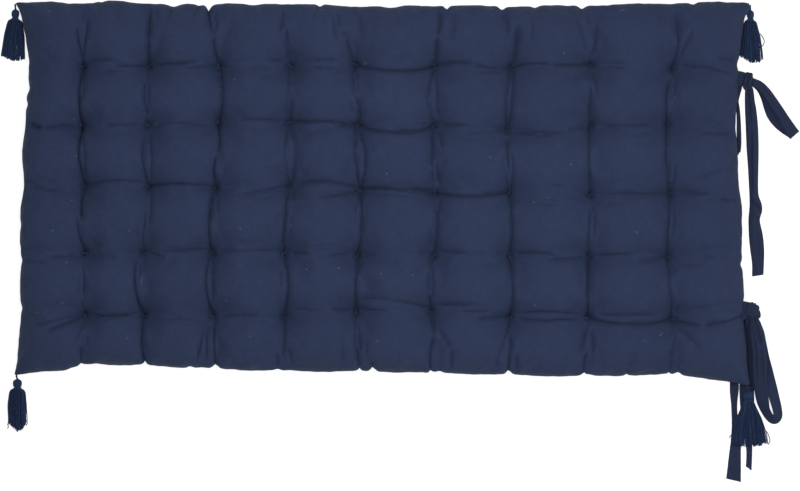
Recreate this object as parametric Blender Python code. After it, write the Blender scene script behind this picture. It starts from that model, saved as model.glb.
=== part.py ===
"""Floor mattress: a filled cotton cushion drawn in by forty-five tufts, with a yarn tassel at each corner
and two pairs of cloth ties, each pair tied in a bow, along one short side. It lies on its back.

Metres, +Z up. The origin is on the floor under the middle of the mattress, with +X along its length towards
the ties and +Y across its width. Every loose piece lies on the floor beside it, where gravity has laid it.
"""

import math
from collections import namedtuple

import bmesh
import bpy
from mathutils import Vector

# Heights above the floor
CROWN_HEIGHT = 0.062  # top of a stuffed square
CHANNEL_HEIGHT = 0.046  # top of the cloth half way between two tufts
TUFT_HEIGHT = 0.029  # top of the cloth at a tuft
TUFT_PIT = 0.010  # how far a tuft draws the underside up off the floor
SEAM_HEIGHT = 0.018  # the seam that joins the two panels

# Plan of the cushion
TUFT_PIT_RADIUS = 0.016  # how far round a tuft the underside lifts
SIDE_SHARE = 0.5  # share of an outer square over which the side rounds down to the seam
SEAM_BULGE = 0.0020  # how far the seam swells out between two tufts
EAR_REACH = 0.020  # how quickly a corner's ear runs out along the sides
CELLS_X, CELLS_Y = 5, 5  # facets across one square
CELL_BUNCHING = 0.45  # how far the facets crowd towards the channels

# Cloth ties
TIE_THICKNESS = 0.0012  # two layers of the cover's cotton, pressed flat
TIE_FACETS = 4  # facets across a strap
STEPS_PER_STATION = 2  # facets along a strap from one station to the next

# Tassels
CORD_WIDTH = 0.0024
HEAD_LENGTH = 0.0170
NECK_SHARE = 0.8  # width of the neck, as a share of the head's
SKIRT_TOP_HEIGHT = 0.0105
SKIRT_END_HEIGHT = 0.0060
RING_SIDES = 12  # facets round a tassel or a knot

# One row for each line of tufts across the width, from -X to +X. lean is how far further +X its -Y end is.
Column = namedtuple("Column", "x lean front_edge back_edge")
COLUMNS = [
    Column(-0.497, 0.003, -0.293, 0.3100),
    Column(-0.393, -0.008, -0.293, 0.3095),
    Column(-0.277, -0.011, -0.298, 0.3065),
    Column(-0.157, -0.011, -0.302, 0.3085),
    Column(-0.039, 0.002, -0.303, 0.3045),
    Column(0.089, -0.003, -0.305, 0.3055),
    Column(0.216, 0.000, -0.309, 0.3045),
    Column(0.350, -0.007, -0.311, 0.3060),
    Column(0.485, 0.000, -0.309, 0.3095),
]
# One row for each line of tufts along the length, from -Y to +Y. y_left and y_right are its two ends.
Row = namedtuple("Row", "y_left y_right left_edge right_edge")
ROWS = [
    Row(-0.210, -0.217, -0.602, 0.6065),
    Row(-0.107, -0.114, -0.601, 0.6035),
    Row(0.005, -0.007, -0.598, 0.6000),
    Row(0.108, 0.106, -0.594, 0.5945),
    Row(0.207, 0.206, -0.588, 0.5985),
]
# The tufts that were sewn a little off those lines, by how much.
Stray = namedtuple("Stray", "column row x y")
STRAYS = [
    Stray(5, 1, -0.004, 0.009),
    Stray(6, 1, -0.004, 0.009),
    Stray(9, 1, 0.003, -0.001),
    Stray(2, 2, -0.004, 0.001),
    Stray(3, 2, -0.003, 0.003),
    Stray(4, 2, -0.002, 0.003),
    Stray(9, 2, -0.004, 0.001),
    Stray(2, 3, 0.003, 0.000),
    Stray(4, 3, 0.003, 0.004),
    Stray(5, 3, 0.003, -0.002),
    Stray(6, 3, 0.002, -0.004),
    Stray(8, 3, 0.001, -0.004),
    Stray(1, 4, -0.003, -0.001),
    Stray(3, 4, 0.002, 0.004),
    Stray(4, 4, 0.000, 0.004),
    Stray(7, 4, -0.004, -0.006),
    Stray(9, 4, -0.004, 0.003),
    Stray(5, 5, -0.003, 0.003),
    Stray(7, 5, 0.003, -0.001),
    Stray(8, 5, 0.000, 0.003),
    Stray(9, 5, 0.003, -0.002),
]
# The four corners, and the ear that the tassel's weight pulls out of each.
Corner = namedtuple("Corner", "x y ear_x ear_y height")
FRONT_LEFT = Corner(-0.605, -0.308, -0.006, -0.003, 0.014)
FRONT_RIGHT = Corner(0.609, -0.321, 0.007, -0.008, 0.016)
BACK_LEFT = Corner(-0.5985, 0.3120, -0.0135, 0.0000, 0.014)
BACK_RIGHT = Corner(0.6045, 0.3125, 0.0135, -0.0015, 0.014)


def material(name, colour, roughness):
    made = bpy.data.materials.new(name)
    made.use_nodes = True
    shader = made.node_tree.nodes["Principled BSDF"]
    shader.inputs["Base Color"].default_value = (*colour, 1)
    shader.inputs["Roughness"].default_value = roughness
    shader.inputs["Metallic"].default_value = 0
    return made


def add_object(name, bm, finish):
    """Names the finished bmesh as one piece of the mattress."""
    mesh = bpy.data.meshes.new(name)
    bm.to_mesh(mesh)
    bm.free()
    mesh.materials.append(finish)
    mesh.shade_smooth()
    made = bpy.data.objects.new(name, mesh)
    bpy.context.scene.collection.objects.link(made)
    return made


def through(values, at):
    """Reads a smooth curve through evenly spaced values (numbers or vectors) at a place counted in values."""
    last = len(values) - 1
    i = min(int(at), last - 1)
    t = at - i
    a, b = values[i], values[i + 1]
    before = values[i - 1] if i > 0 else a + (a - b)
    after = values[i + 2] if i + 2 <= last else b + (b - a)
    slope_a, slope_b = (b - before) * 0.5, (after - a) * 0.5
    return (
        a * (2 * t**3 - 3 * t**2 + 1)
        + slope_a * (t**3 - 2 * t**2 + t)
        + b * (3 * t**2 - 2 * t**3)
        + slope_b * (t**3 - t**2)
    )


# The cushion


def tuft_net():
    """The plan's nodes: net[i][j] for column i and row j, with the seam's own places round the tufts."""
    last_row = len(ROWS) - 1
    left = [Vector((FRONT_LEFT.x, FRONT_LEFT.y))]
    left += [Vector((row.left_edge, row.y_left)) for row in ROWS]
    left += [Vector((BACK_LEFT.x, BACK_LEFT.y))]
    net = [left]
    for column in COLUMNS:
        share = (column.x - COLUMNS[0].x) / (COLUMNS[-1].x - COLUMNS[0].x)
        line = [Vector((column.x + column.lean / 2, column.front_edge))]
        for j, row in enumerate(ROWS):
            x = column.x + column.lean * (0.5 - j / last_row)
            line.append(Vector((x, row.y_left + share * (row.y_right - row.y_left))))
        line.append(Vector((column.x - column.lean / 2, column.back_edge)))
        net.append(line)
    right = [Vector((FRONT_RIGHT.x, FRONT_RIGHT.y))]
    right += [Vector((row.right_edge, row.y_right)) for row in ROWS]
    right += [Vector((BACK_RIGHT.x, BACK_RIGHT.y))]
    net.append(right)
    for stray in STRAYS:
        net[stray.column][stray.row] += Vector((stray.x, stray.y))
    return net


NET = tuft_net()
SQUARES_X, SQUARES_Y = len(NET) - 1, len(NET[0]) - 1


def corners():
    """Each corner with its place in the net."""
    return [
        (FRONT_LEFT, 0, 0),
        (FRONT_RIGHT, SQUARES_X, 0),
        (BACK_LEFT, 0, SQUARES_Y),
        (BACK_RIGHT, SQUARES_X, SQUARES_Y),
    ]


def swell(at):
    return math.sin(math.pi * (at % 1)) ** 2


def plan(u, v):
    """The place on the floor of net place (u, v), with the seam's swells and the corners' ears."""
    place = through([through(line, v) for line in NET], u)
    place.x += SEAM_BULGE * swell(v) * (max(0, u - SQUARES_X + 1) - max(0, 1 - u))
    place.y += SEAM_BULGE * swell(u) * (max(0, v - SQUARES_Y + 1) - max(0, 1 - v))
    for corner, i, j in corners():
        ear = math.exp(-(place - Vector((corner.x, corner.y))).length / EAR_REACH)
        place += Vector((corner.ear_x, corner.ear_y)) * ear
    return place


def seam_height(u, v):
    height = SEAM_HEIGHT
    for corner, i, j in corners():
        near = max(0, 1 - abs(u - i)) * max(0, 1 - abs(v - j))
        height += (corner.height - SEAM_HEIGHT) * near**2
    return height


def side_profile(at, squares):
    """0 at the seam, rising round the side to 1 well inside it."""
    inside = min(at, squares - at, SIDE_SHARE) / SIDE_SHARE
    return math.sqrt(1 - (1 - inside) ** 2)


def stuffing(at, squares):
    """1 in the middle of a square and 0 at its channels. An outer square stays full as far as its side."""
    if at < SIDE_SHARE or at > squares - SIDE_SHARE:
        return 1.0
    return math.sin(math.pi * (at % 1)) if 1e-6 < at % 1 < 1 - 1e-6 else 0.0


def top_height(u, v):
    full_u, full_v = stuffing(u, SQUARES_X) ** 0.7, stuffing(v, SQUARES_Y) ** 0.7
    channel = (CHANNEL_HEIGHT - TUFT_HEIGHT) * (full_u + full_v - full_u * full_v)
    crown = (CROWN_HEIGHT - CHANNEL_HEIGHT) * full_u * full_v
    side = side_profile(u, SQUARES_X) * side_profile(v, SQUARES_Y)
    seam = seam_height(u, v)
    return seam + (TUFT_HEIGHT + channel + crown - seam) * side


def under_height(u, v):
    """The underside lies flat on the floor, apart from its rounded sides and a pit under each tuft."""
    side = side_profile(u, SQUARES_X) * side_profile(v, SQUARES_Y)
    height = seam_height(u, v) * (1 - side)
    i, j = round(u), round(v)
    if 0 < i < SQUARES_X and 0 < j < SQUARES_Y:
        away = (plan(u, v) - NET[i][j]).length
        height += TUFT_PIT * max(0, 1 - away / TUFT_PIT_RADIUS) ** 2
    return height


def bunched(at):
    """Crowds evenly spaced places towards whole numbers, where the channels are."""
    return at - CELL_BUNCHING * math.sin(2 * math.pi * at) / (2 * math.pi)


def split_ears(bm):
    """Splits each corner's faces from the ear's point towards the stuffing, which keeps the ear full."""
    for point in [vert for vert in bm.verts if len(vert.link_faces) == 2]:
        for face in list(point.link_faces):
            corner = [vert for vert in face.verts].index(point)
            bmesh.utils.face_split(face, point, face.verts[(corner + 2) % 4])


def make_cushion(finish):
    bm = bmesh.new()
    bmesh.ops.create_grid(bm, x_segments=SQUARES_X * CELLS_X, y_segments=SQUARES_Y * CELLS_Y, size=1)
    top = list(bm.verts)
    under = bmesh.ops.duplicate(bm, geom=bm.verts[:] + bm.edges[:] + bm.faces[:])
    copied = under["vert_map"]
    for vert in top:
        u = min(max(bunched((vert.co.x + 1) / 2 * SQUARES_X), 0), SQUARES_X)
        v = min(max(bunched((vert.co.y + 1) / 2 * SQUARES_Y), 0), SQUARES_Y)
        x, y = plan(u, v)
        vert.co = (x, y, top_height(u, v))
        copied[vert].co = (x, y, under_height(u, v))
    bmesh.ops.reverse_faces(bm, faces=[f for f in under["geom"] if isinstance(f, bmesh.types.BMFace)])
    bmesh.ops.remove_doubles(bm, verts=bm.verts, dist=1e-6)
    split_ears(bm)
    bmesh.ops.recalc_face_normals(bm, faces=bm.faces)
    add_object("mattress", bm, finish)


# The ties. A station is a place on a strap's middle line. z is the height of its two edges above the floor
# as it lies flat, width its width across, and arch how far its middle stands proud of the edges. A strap
# doesn't twist by itself: bank turns it about its middle line, in degrees, with its left edge raised.

Station = namedtuple("Station", "x y z width arch bank")

# The upper bow: a flat loop that points away from the mattress, a long free end and a short one by the seam.
UPPER_LONG_END = [
    Station(0.6155, 0.1712, 0.0050, 0.0130, 0.0030, 0),
    Station(0.6180, 0.1575, 0.0010, 0.0150, 0.0035, 0),
    Station(0.6200, 0.1320, 0.0002, 0.0190, 0.0025, 0),
    Station(0.6225, 0.1050, 0.0002, 0.0195, 0.0020, 0),
    Station(0.6230, 0.0700, 0.0002, 0.0185, 0.0025, 0),
    Station(0.6235, 0.0350, 0.0002, 0.0145, 0.0040, 0),
    Station(0.6255, 0.0050, 0.0002, 0.0150, 0.0040, 0),
    Station(0.6290, -0.0350, 0.0002, 0.0200, 0.0020, 0),
    Station(0.6295, -0.0770, 0.0002, 0.0240, 0.0008, 0),
    Station(0.6315, -0.1020, 0.0002, 0.0235, 0.0008, 0),
    Station(0.6325, -0.1230, 0.0002, 0.0200, 0.0012, 0),
    Station(0.6320, -0.1450, 0.0002, 0.0185, 0.0015, 0),
]
UPPER_SHORT_END = [
    Station(0.6040, 0.1724, 0.0080, 0.0080, 0.0030, 0),
    Station(0.6015, 0.1560, 0.0015, 0.0090, 0.0060, 0),
    Station(0.6005, 0.1300, 0.0002, 0.0085, 0.0070, 0),
    Station(0.5998, 0.1000, 0.0002, 0.0080, 0.0070, 0),
    Station(0.6000, 0.0620, 0.0002, 0.0085, 0.0060, 0),
]
UPPER_LOOP = [
    Station(0.6238, 0.1806, 0.0075, 0.0110, 0.0015, 0),
    Station(0.6352, 0.1745, 0.0070, 0.0145, 0.0015, 0),
    Station(0.6457, 0.1642, 0.0075, 0.0150, 0.0015, 0),
    Station(0.6558, 0.1499, 0.0080, 0.0155, 0.0015, 0),
    Station(0.6667, 0.1340, 0.0080, 0.0160, 0.0015, 0),
    Station(0.6759, 0.1198, 0.0075, 0.0165, 0.0010, 0),
    Station(0.6845, 0.1060, 0.0065, 0.0185, 0.0005, 0),
    Station(0.6900, 0.0965, 0.0052, 0.0205, 0.0000, 0),
    Station(0.6930, 0.0925, 0.0028, 0.0205, 0.0000, -6),
    Station(0.6895, 0.0950, 0.0004, 0.0205, 0.0000, -14),
    Station(0.6775, 0.1035, 0.0000, 0.0205, 0.0000, -15),
    Station(0.6660, 0.1140, 0.0000, 0.0210, 0.0000, -15),
    Station(0.6575, 0.1260, 0.0000, 0.0210, 0.0000, -15),
    Station(0.6515, 0.1410, 0.0000, 0.0200, 0.0000, -15),
    Station(0.6450, 0.1560, 0.0005, 0.0160, 0.0000, -15),
    Station(0.6355, 0.1690, 0.0015, 0.0110, 0.0000, -14),
    Station(0.6240, 0.1780, 0.0030, 0.0080, 0.0000, -13),
]

# The lower bow: a loop that stands on edge where it turns, and two free ends that run on past the corner.
LOWER_RIGHT_END = [
    Station(0.6172, -0.2205, 0.0060, 0.0075, 0.0010, 0),
    Station(0.6170, -0.2400, 0.0006, 0.0110, 0.0006, 0),
    Station(0.6154, -0.2640, 0.0002, 0.0190, 0.0004, 0),
    Station(0.6150, -0.2930, 0.0002, 0.0235, 0.0004, 0),
    Station(0.6148, -0.3150, 0.0002, 0.0245, 0.0004, 0),
    Station(0.6142, -0.3350, 0.0002, 0.0245, 0.0004, 0),
    Station(0.6148, -0.3580, 0.0002, 0.0235, 0.0004, 0),
    Station(0.6152, -0.3780, 0.0002, 0.0215, 0.0004, 0),
    Station(0.6160, -0.4000, 0.0002, 0.0175, 0.0004, 0),
    Station(0.6172, -0.4220, 0.0002, 0.0130, 0.0004, 0),
    Station(0.6185, -0.4420, 0.0002, 0.0105, 0.0004, 0),
    Station(0.6175, -0.4685, 0.0002, 0.0105, 0.0004, 0),
]
LOWER_LEFT_END = [
    Station(0.6104, -0.2196, 0.0110, 0.0050, 0.0010, 0),
    Station(0.6040, -0.2400, 0.0024, 0.0100, 0.0006, 0),
    Station(0.5965, -0.2700, 0.0008, 0.0110, 0.0004, 0),
    Station(0.5918, -0.3000, 0.0002, 0.0105, 0.0004, 0),
    Station(0.5905, -0.3300, 0.0002, 0.0100, 0.0006, 0),
    Station(0.5916, -0.3560, 0.0002, 0.0085, 0.0012, 0),
    Station(0.5930, -0.3780, 0.0002, 0.0085, 0.0008, 0),
    Station(0.5950, -0.4000, 0.0003, 0.0130, 0.0004, 0),
    Station(0.5955, -0.4250, 0.0004, 0.0180, 0.0003, 0),
    Station(0.5942, -0.4470, 0.0004, 0.0210, 0.0004, 0),
    Station(0.5912, -0.4885, 0.0004, 0.0255, 0.0008, 0),
]
LOWER_LOOP = [
    Station(0.6265, -0.2218, 0.0070, 0.0140, 0.0020, 0),
    Station(0.6315, -0.2420, 0.0065, 0.0225, 0.0025, 0),
    Station(0.6345, -0.2620, 0.0060, 0.0235, 0.0025, 0),
    Station(0.6358, -0.2830, 0.0055, 0.0235, 0.0025, 0),
    Station(0.6357, -0.3030, 0.0050, 0.0220, 0.0025, 5),
    Station(0.6348, -0.3228, 0.0055, 0.0200, 0.0020, 20),
    Station(0.6352, -0.3400, 0.0070, 0.0190, 0.0010, 40),
    Station(0.6398, -0.3560, 0.0080, 0.0190, 0.0005, 54),
    Station(0.6460, -0.3705, 0.0084, 0.0190, 0.0000, 60),
    Station(0.6530, -0.3825, 0.0086, 0.0190, 0.0000, 62),
    Station(0.6615, -0.3885, 0.0086, 0.0190, 0.0000, 62),
    Station(0.6675, -0.3815, 0.0084, 0.0190, 0.0000, 60),
    Station(0.6655, -0.3660, 0.0078, 0.0190, 0.0000, 54),
    Station(0.6613, -0.3510, 0.0064, 0.0190, 0.0005, 42),
    Station(0.6571, -0.3365, 0.0046, 0.0190, 0.0005, 28),
    Station(0.6524, -0.3199, 0.0024, 0.0195, 0.0005, 14),
    Station(0.6474, -0.3015, 0.0008, 0.0200, 0.0005, 4),
    Station(0.6424, -0.2831, 0.0002, 0.0200, 0.0005, 0),
    Station(0.6385, -0.2613, 0.0002, 0.0190, 0.0005, 0),
    Station(0.6360, -0.2412, 0.0008, 0.0150, 0.0005, 0),
    Station(0.6330, -0.2220, 0.0030, 0.0080, 0.0005, 0),
]


def strap_section(station, along, left):
    """Points across a strap from its left edge to its right edge."""
    up = along.cross(left)
    bank = math.radians(station.bank)
    across = left * math.cos(bank) + up * math.sin(bank)
    out = up * math.cos(bank) - left * math.sin(bank)
    middle = Vector((station.x, station.y, station.z + TIE_THICKNESS + station.arch))
    points = []
    for k in range(TIE_FACETS + 1):
        side = 1 - 2 * k / TIE_FACETS
        points.append(middle + across * side * station.width / 2 - out * station.arch * side**2)
    return points


def make_strap(name, stations, finish):
    steps = (len(stations) - 1) * STEPS_PER_STATION
    table = [Vector(station) for station in stations]
    line = [Station(*through(table, step / STEPS_PER_STATION)) for step in range(steps + 1)]
    places = [Vector(station[:3]) for station in line]
    bm = bmesh.new()
    rows = []
    left = None
    for step, station in enumerate(line):
        along = (places[min(step + 1, steps)] - places[max(step - 1, 0)]).normalized()
        if left is None:
            left = Vector((-along.y, along.x, 0))
        left = (left - along * left.dot(along)).normalized()
        rows.append([bm.verts.new(point) for point in strap_section(station, along, left)])
    for near, far in zip(rows, rows[1:]):
        for k in range(TIE_FACETS):
            bm.faces.new((near[k], near[k + 1], far[k + 1], far[k]))
    made = add_object(name, bm, finish)
    thicken = made.modifiers.new("two_layers", "SOLIDIFY")
    thicken.thickness = TIE_THICKNESS
    thicken.offset = -1


# Knots and tassels are rows of rings. A ring stands upright across the way the row runs.

Ring = namedtuple("Ring", "x y z width height")

# Each pair of ties leaves the seam side by side and goes straight into its knot.
UPPER_KNOT = [
    Ring(0.5990, 0.1860, 0.0175, 0.0200, 0.0020),
    Ring(0.6018, 0.1860, 0.0155, 0.0200, 0.0060),
    Ring(0.6055, 0.1850, 0.0120, 0.0200, 0.0130),
    Ring(0.6100, 0.1840, 0.0093, 0.0215, 0.0180),
    Ring(0.6160, 0.1825, 0.0088, 0.0215, 0.0170),
    Ring(0.6200, 0.1820, 0.0080, 0.0180, 0.0130),
    Ring(0.6215, 0.1818, 0.0080, 0.0100, 0.0070),
]
LOWER_KNOT = [
    Ring(0.6083, -0.2035, 0.0175, 0.0250, 0.0020),
    Ring(0.6125, -0.2040, 0.0155, 0.0270, 0.0070),
    Ring(0.6175, -0.2050, 0.0112, 0.0300, 0.0170),
    Ring(0.6235, -0.2072, 0.0102, 0.0290, 0.0190),
    Ring(0.6290, -0.2110, 0.0095, 0.0240, 0.0180),
    Ring(0.6325, -0.2155, 0.0085, 0.0170, 0.0140),
    Ring(0.6340, -0.2180, 0.0085, 0.0090, 0.0070),
]

# A tassel hangs from a corner by its cord, which starts beside the ear. The skirt swells to top_width just
# below the neck and ends at end_x, end_y.
Tassel = namedtuple(
    "Tassel", "name cord_x cord_y cord_z head_x head_y head_width top_width end_x end_y end_width lift"
)
TASSELS = [
    Tassel(
        "tassel_back_left",
        -0.6132, 0.3105, 0.0140, -0.6128, 0.3030, 0.0120, 0.025, -0.6175, 0.2180, 0.038, 0.0002,
    ),
    Tassel(
        "tassel_back_right",
        0.6192, 0.3085, 0.0140, 0.6204, 0.3015, 0.0115, 0.021, 0.6185, 0.2150, 0.040, 0.0002,
    ),
    Tassel(
        "tassel_front_left",
        -0.6112, -0.3120, 0.0140, -0.6092, -0.3172, 0.0150, 0.026, -0.6105, -0.4035, 0.034, 0.0002,
    ),
    Tassel(
        "tassel_front_right",
        0.6162, -0.3296, 0.0160, 0.6164, -0.3375, 0.0155, 0.024, 0.6195, -0.4300, 0.066, 0.0027,
    ),
]


def make_rings(name, rings, finish):
    bm = bmesh.new()
    loops = []
    for i, ring in enumerate(rings):
        before, after = rings[max(i - 1, 0)], rings[min(i + 1, len(rings) - 1)]
        left = Vector((before.y - after.y, after.x - before.x, 0)).normalized()
        loop = []
        for k in range(RING_SIDES):
            turn = 2 * math.pi * k / RING_SIDES
            sideways = left * math.cos(turn) * ring.width / 2
            height = ring.z + math.sin(turn) * ring.height / 2
            loop.append(bm.verts.new((ring.x + sideways.x, ring.y + sideways.y, height)))
        loops.append(loop)
    for near, far in zip(loops, loops[1:]):
        for k in range(RING_SIDES):
            after = (k + 1) % RING_SIDES
            bm.faces.new((near[k], near[after], far[after], far[k]))
    bm.faces.new(loops[0])
    bm.faces.new(reversed(loops[-1]))
    bmesh.ops.recalc_face_normals(bm, faces=bm.faces)
    add_object(name, bm, finish)


def make_tassel(tassel, finish):
    start = Vector((tassel.head_x, tassel.head_y))
    end = Vector((tassel.end_x, tassel.end_y))
    length = (end - start).length
    neck = HEAD_LENGTH / length
    skirt = 1 - neck
    head = tassel.head_width
    # share of the tassel's length from the head's top, width and height of each ring
    profile = [
        (0.00, CORD_WIDTH, CORD_WIDTH),
        (0.12 * neck, 0.65 * head, 0.65 * head),
        (0.45 * neck, head, head),
        (0.80 * neck, 0.90 * head, 0.90 * head),
        (neck, NECK_SHARE * head, NECK_SHARE * head),
        (neck + 0.10 * skirt, tassel.top_width, SKIRT_TOP_HEIGHT),
        (neck + 0.40 * skirt, 0.5 * (tassel.top_width + tassel.end_width), SKIRT_TOP_HEIGHT),
        (neck + 0.75 * skirt, 0.9 * tassel.end_width, 0.5 * (SKIRT_TOP_HEIGHT + SKIRT_END_HEIGHT)),
        (1.00, tassel.end_width, SKIRT_END_HEIGHT),
    ]
    head_z = tassel.lift + head / 2
    rings = [Ring(tassel.cord_x, tassel.cord_y, tassel.cord_z, CORD_WIDTH, CORD_WIDTH)]
    for share, width, height in profile:
        middle = start + (end - start) * share
        rests = min(1, max(0, (share - neck) / (0.1 * skirt)))
        z = head_z + (tassel.lift + height / 2 - head_z) * rests
        rings.append(Ring(middle.x, middle.y, z, width, height))
    make_rings(tassel.name, rings, finish)


def main():
    for old in list(bpy.data.objects):
        bpy.data.objects.remove(old)
    cotton = material("navy_cotton", (0.028, 0.040, 0.084), 0.9)
    yarn = material("navy_yarn", (0.016, 0.028, 0.060), 0.95)
    make_cushion(cotton)
    for tassel in TASSELS:
        make_tassel(tassel, yarn)
    make_rings("upper_bow_knot", UPPER_KNOT, cotton)
    make_strap("upper_bow_loop", UPPER_LOOP, cotton)
    make_strap("upper_bow_long_end", UPPER_LONG_END, cotton)
    make_strap("upper_bow_short_end", UPPER_SHORT_END, cotton)
    make_rings("lower_bow_knot", LOWER_KNOT, cotton)
    make_strap("lower_bow_loop", LOWER_LOOP, cotton)
    make_strap("lower_bow_right_end", LOWER_RIGHT_END, cotton)
    make_strap("lower_bow_left_end", LOWER_LEFT_END, cotton)


main()
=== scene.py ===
"""Floor mattress, finished: a tufted navy cotton mattress with a yarn tassel at each corner and two pairs of
cloth ties in bows, lying on a pale floor. Metres, +Z up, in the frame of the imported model.
"""

import math
import random
from collections import namedtuple

import bmesh
import bpy
import numpy as np
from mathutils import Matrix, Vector, noise
from mathutils.bvhtree import BVHTree


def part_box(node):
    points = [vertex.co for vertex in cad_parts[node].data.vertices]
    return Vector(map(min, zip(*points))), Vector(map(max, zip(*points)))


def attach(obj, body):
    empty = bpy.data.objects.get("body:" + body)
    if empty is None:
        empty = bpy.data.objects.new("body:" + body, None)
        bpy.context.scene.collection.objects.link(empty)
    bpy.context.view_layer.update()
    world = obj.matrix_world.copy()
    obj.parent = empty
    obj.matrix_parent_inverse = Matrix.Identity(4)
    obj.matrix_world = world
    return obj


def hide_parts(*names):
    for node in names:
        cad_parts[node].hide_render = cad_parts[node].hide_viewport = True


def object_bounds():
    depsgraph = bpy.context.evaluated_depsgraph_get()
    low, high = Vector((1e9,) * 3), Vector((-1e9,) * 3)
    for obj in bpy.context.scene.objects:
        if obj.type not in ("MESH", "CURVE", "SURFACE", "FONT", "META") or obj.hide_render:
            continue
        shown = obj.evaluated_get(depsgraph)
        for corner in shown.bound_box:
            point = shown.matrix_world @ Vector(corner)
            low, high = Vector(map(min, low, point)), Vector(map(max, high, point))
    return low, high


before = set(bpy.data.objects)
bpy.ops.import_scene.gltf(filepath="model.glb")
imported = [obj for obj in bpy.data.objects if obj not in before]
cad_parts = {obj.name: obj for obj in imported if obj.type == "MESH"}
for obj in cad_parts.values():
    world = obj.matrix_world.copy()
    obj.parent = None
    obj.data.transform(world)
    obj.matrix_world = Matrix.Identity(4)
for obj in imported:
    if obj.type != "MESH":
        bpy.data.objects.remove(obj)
cad_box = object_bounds()

# Camera. It hangs high above the mattress on a long lens and looks straight down, a little towards the side
# where the ties lie, so that the whole mattress and its ties fill the picture.
VIEW_WIDTH = 1.34
CAMERA_HEIGHT = 14.0
SENSOR_WIDTH = 0.036
VIEW_SHIFT_Y = -0.006

mattress_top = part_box("mattress")[1].z


def add_object(name, data):
    """Puts a mesh, a light or a camera in the scene as a new object."""
    made = bpy.data.objects.new(name, data)
    bpy.context.scene.collection.objects.link(made)
    return made


camera_data = bpy.data.cameras.new("camera")
camera_data.sensor_width = SENSOR_WIDTH * 1000
camera_data.lens = camera_data.sensor_width * (CAMERA_HEIGHT - mattress_top / 2) / VIEW_WIDTH
camera = add_object("camera", camera_data)
camera.location = (
    (cad_box[0].x + cad_box[1].x) / 2,
    (cad_box[0].y + cad_box[1].y) / 2 + VIEW_SHIFT_Y,
    CAMERA_HEIGHT,
)
bpy.context.scene.camera = camera

# Floor and light. The mattress lies on a plain white floor in a bright, even studio: a wide soft light above,
# a weaker one low at the end with the ties, and white all round.
FLOOR_SIZE = 30.0
FLOOR_COLOUR = (0.35, 0.35, 0.35)
FLOOR_GLOW = 0.8  # a lit white table, which hardly takes a shadow
ROOM_LIGHT = 0.66
LampRow = namedtuple("LampRow", "name size power x y z")
LAMPS = [
    LampRow("overhead", 1.1, 15, 0.10, 0.14, 1.45),
    LampRow("tie_end", 1.2, 13, 2.2, -0.5, 1.3),
]


def set_sockets(node, values):
    """Sets a node's own sockets by name."""
    for name, value in values.items():
        node.inputs[name].default_value = value


bm = bmesh.new()
bmesh.ops.create_grid(bm, x_segments=1, y_segments=1, size=FLOOR_SIZE / 2)
floor_mesh = bpy.data.meshes.new("floor")
bm.to_mesh(floor_mesh)
bm.free()
floor = add_object("floor", floor_mesh)
paint = bpy.data.materials.new("white_floor")
paint.use_nodes = True
set_sockets(paint.node_tree.nodes["Principled BSDF"], {
    "Base Color": (*FLOOR_COLOUR, 1),
    "Roughness": 0.9,
    "Emission Color": (1, 1, 1, 1),
    "Emission Strength": FLOOR_GLOW,
})
floor_mesh.materials.append(paint)

for row in LAMPS:
    lamp_data = bpy.data.lights.new(row.name, "AREA")
    lamp_data.size = row.size
    lamp_data.energy = row.power
    lamp = add_object(row.name, lamp_data)
    lamp.location = (row.x, row.y, row.z)
    lamp.rotation_euler = (-lamp.location).to_track_quat("-Z", "Y").to_euler()

room = bpy.data.worlds.new("room")
room.use_nodes = True
set_sockets(room.node_tree.nodes["Background"], {"Color": (1, 1, 1, 1), "Strength": ROOM_LIGHT})
bpy.context.scene.world = room
bpy.context.scene.view_settings.view_transform = "Standard"

# The mattress. Two panels of plain cotton are sewn together round a loose filling, then drawn together at
# forty-five tufts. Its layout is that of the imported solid: a net of lines through the tufts, with the seam's
# own places all round. It is filled and drawn in by a cloth simulation, and its creases are then pressed in.
CHANNEL_SHARE = 0.87  # height of the cloth between two tufts, as a share of the crown
TUFT_SHARE = 0.56
CHANNEL_SOFTNESS = 1.6  # how softly a square rises from its channels
SEAM_HEIGHT = 0.018
TUFT_PIT = 0.010
TUFT_PIT_RADIUS = 0.016
SIDE_SHARE = 0.5
SEAM_BULGE = 0.0020
EAR_REACH = 0.020

Column = namedtuple("Column", "x lean front_edge back_edge")
COLUMNS = [
    Column(-0.497, 0.003, -0.293, 0.3100),
    Column(-0.393, -0.008, -0.293, 0.3095),
    Column(-0.277, -0.011, -0.298, 0.3065),
    Column(-0.157, -0.011, -0.302, 0.3085),
    Column(-0.039, 0.002, -0.303, 0.3045),
    Column(0.089, -0.003, -0.305, 0.3055),
    Column(0.216, 0.000, -0.309, 0.3045),
    Column(0.350, -0.007, -0.311, 0.3060),
    Column(0.485, 0.000, -0.309, 0.3095),
]
Row = namedtuple("Row", "y_left y_right left_edge right_edge")
ROWS = [
    Row(-0.210, -0.217, -0.602, 0.6065),
    Row(-0.107, -0.114, -0.601, 0.6035),
    Row(0.005, -0.007, -0.598, 0.6000),
    Row(0.108, 0.106, -0.594, 0.5945),
    Row(0.207, 0.206, -0.588, 0.5985),
]
Stray = namedtuple("Stray", "column row x y")
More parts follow.
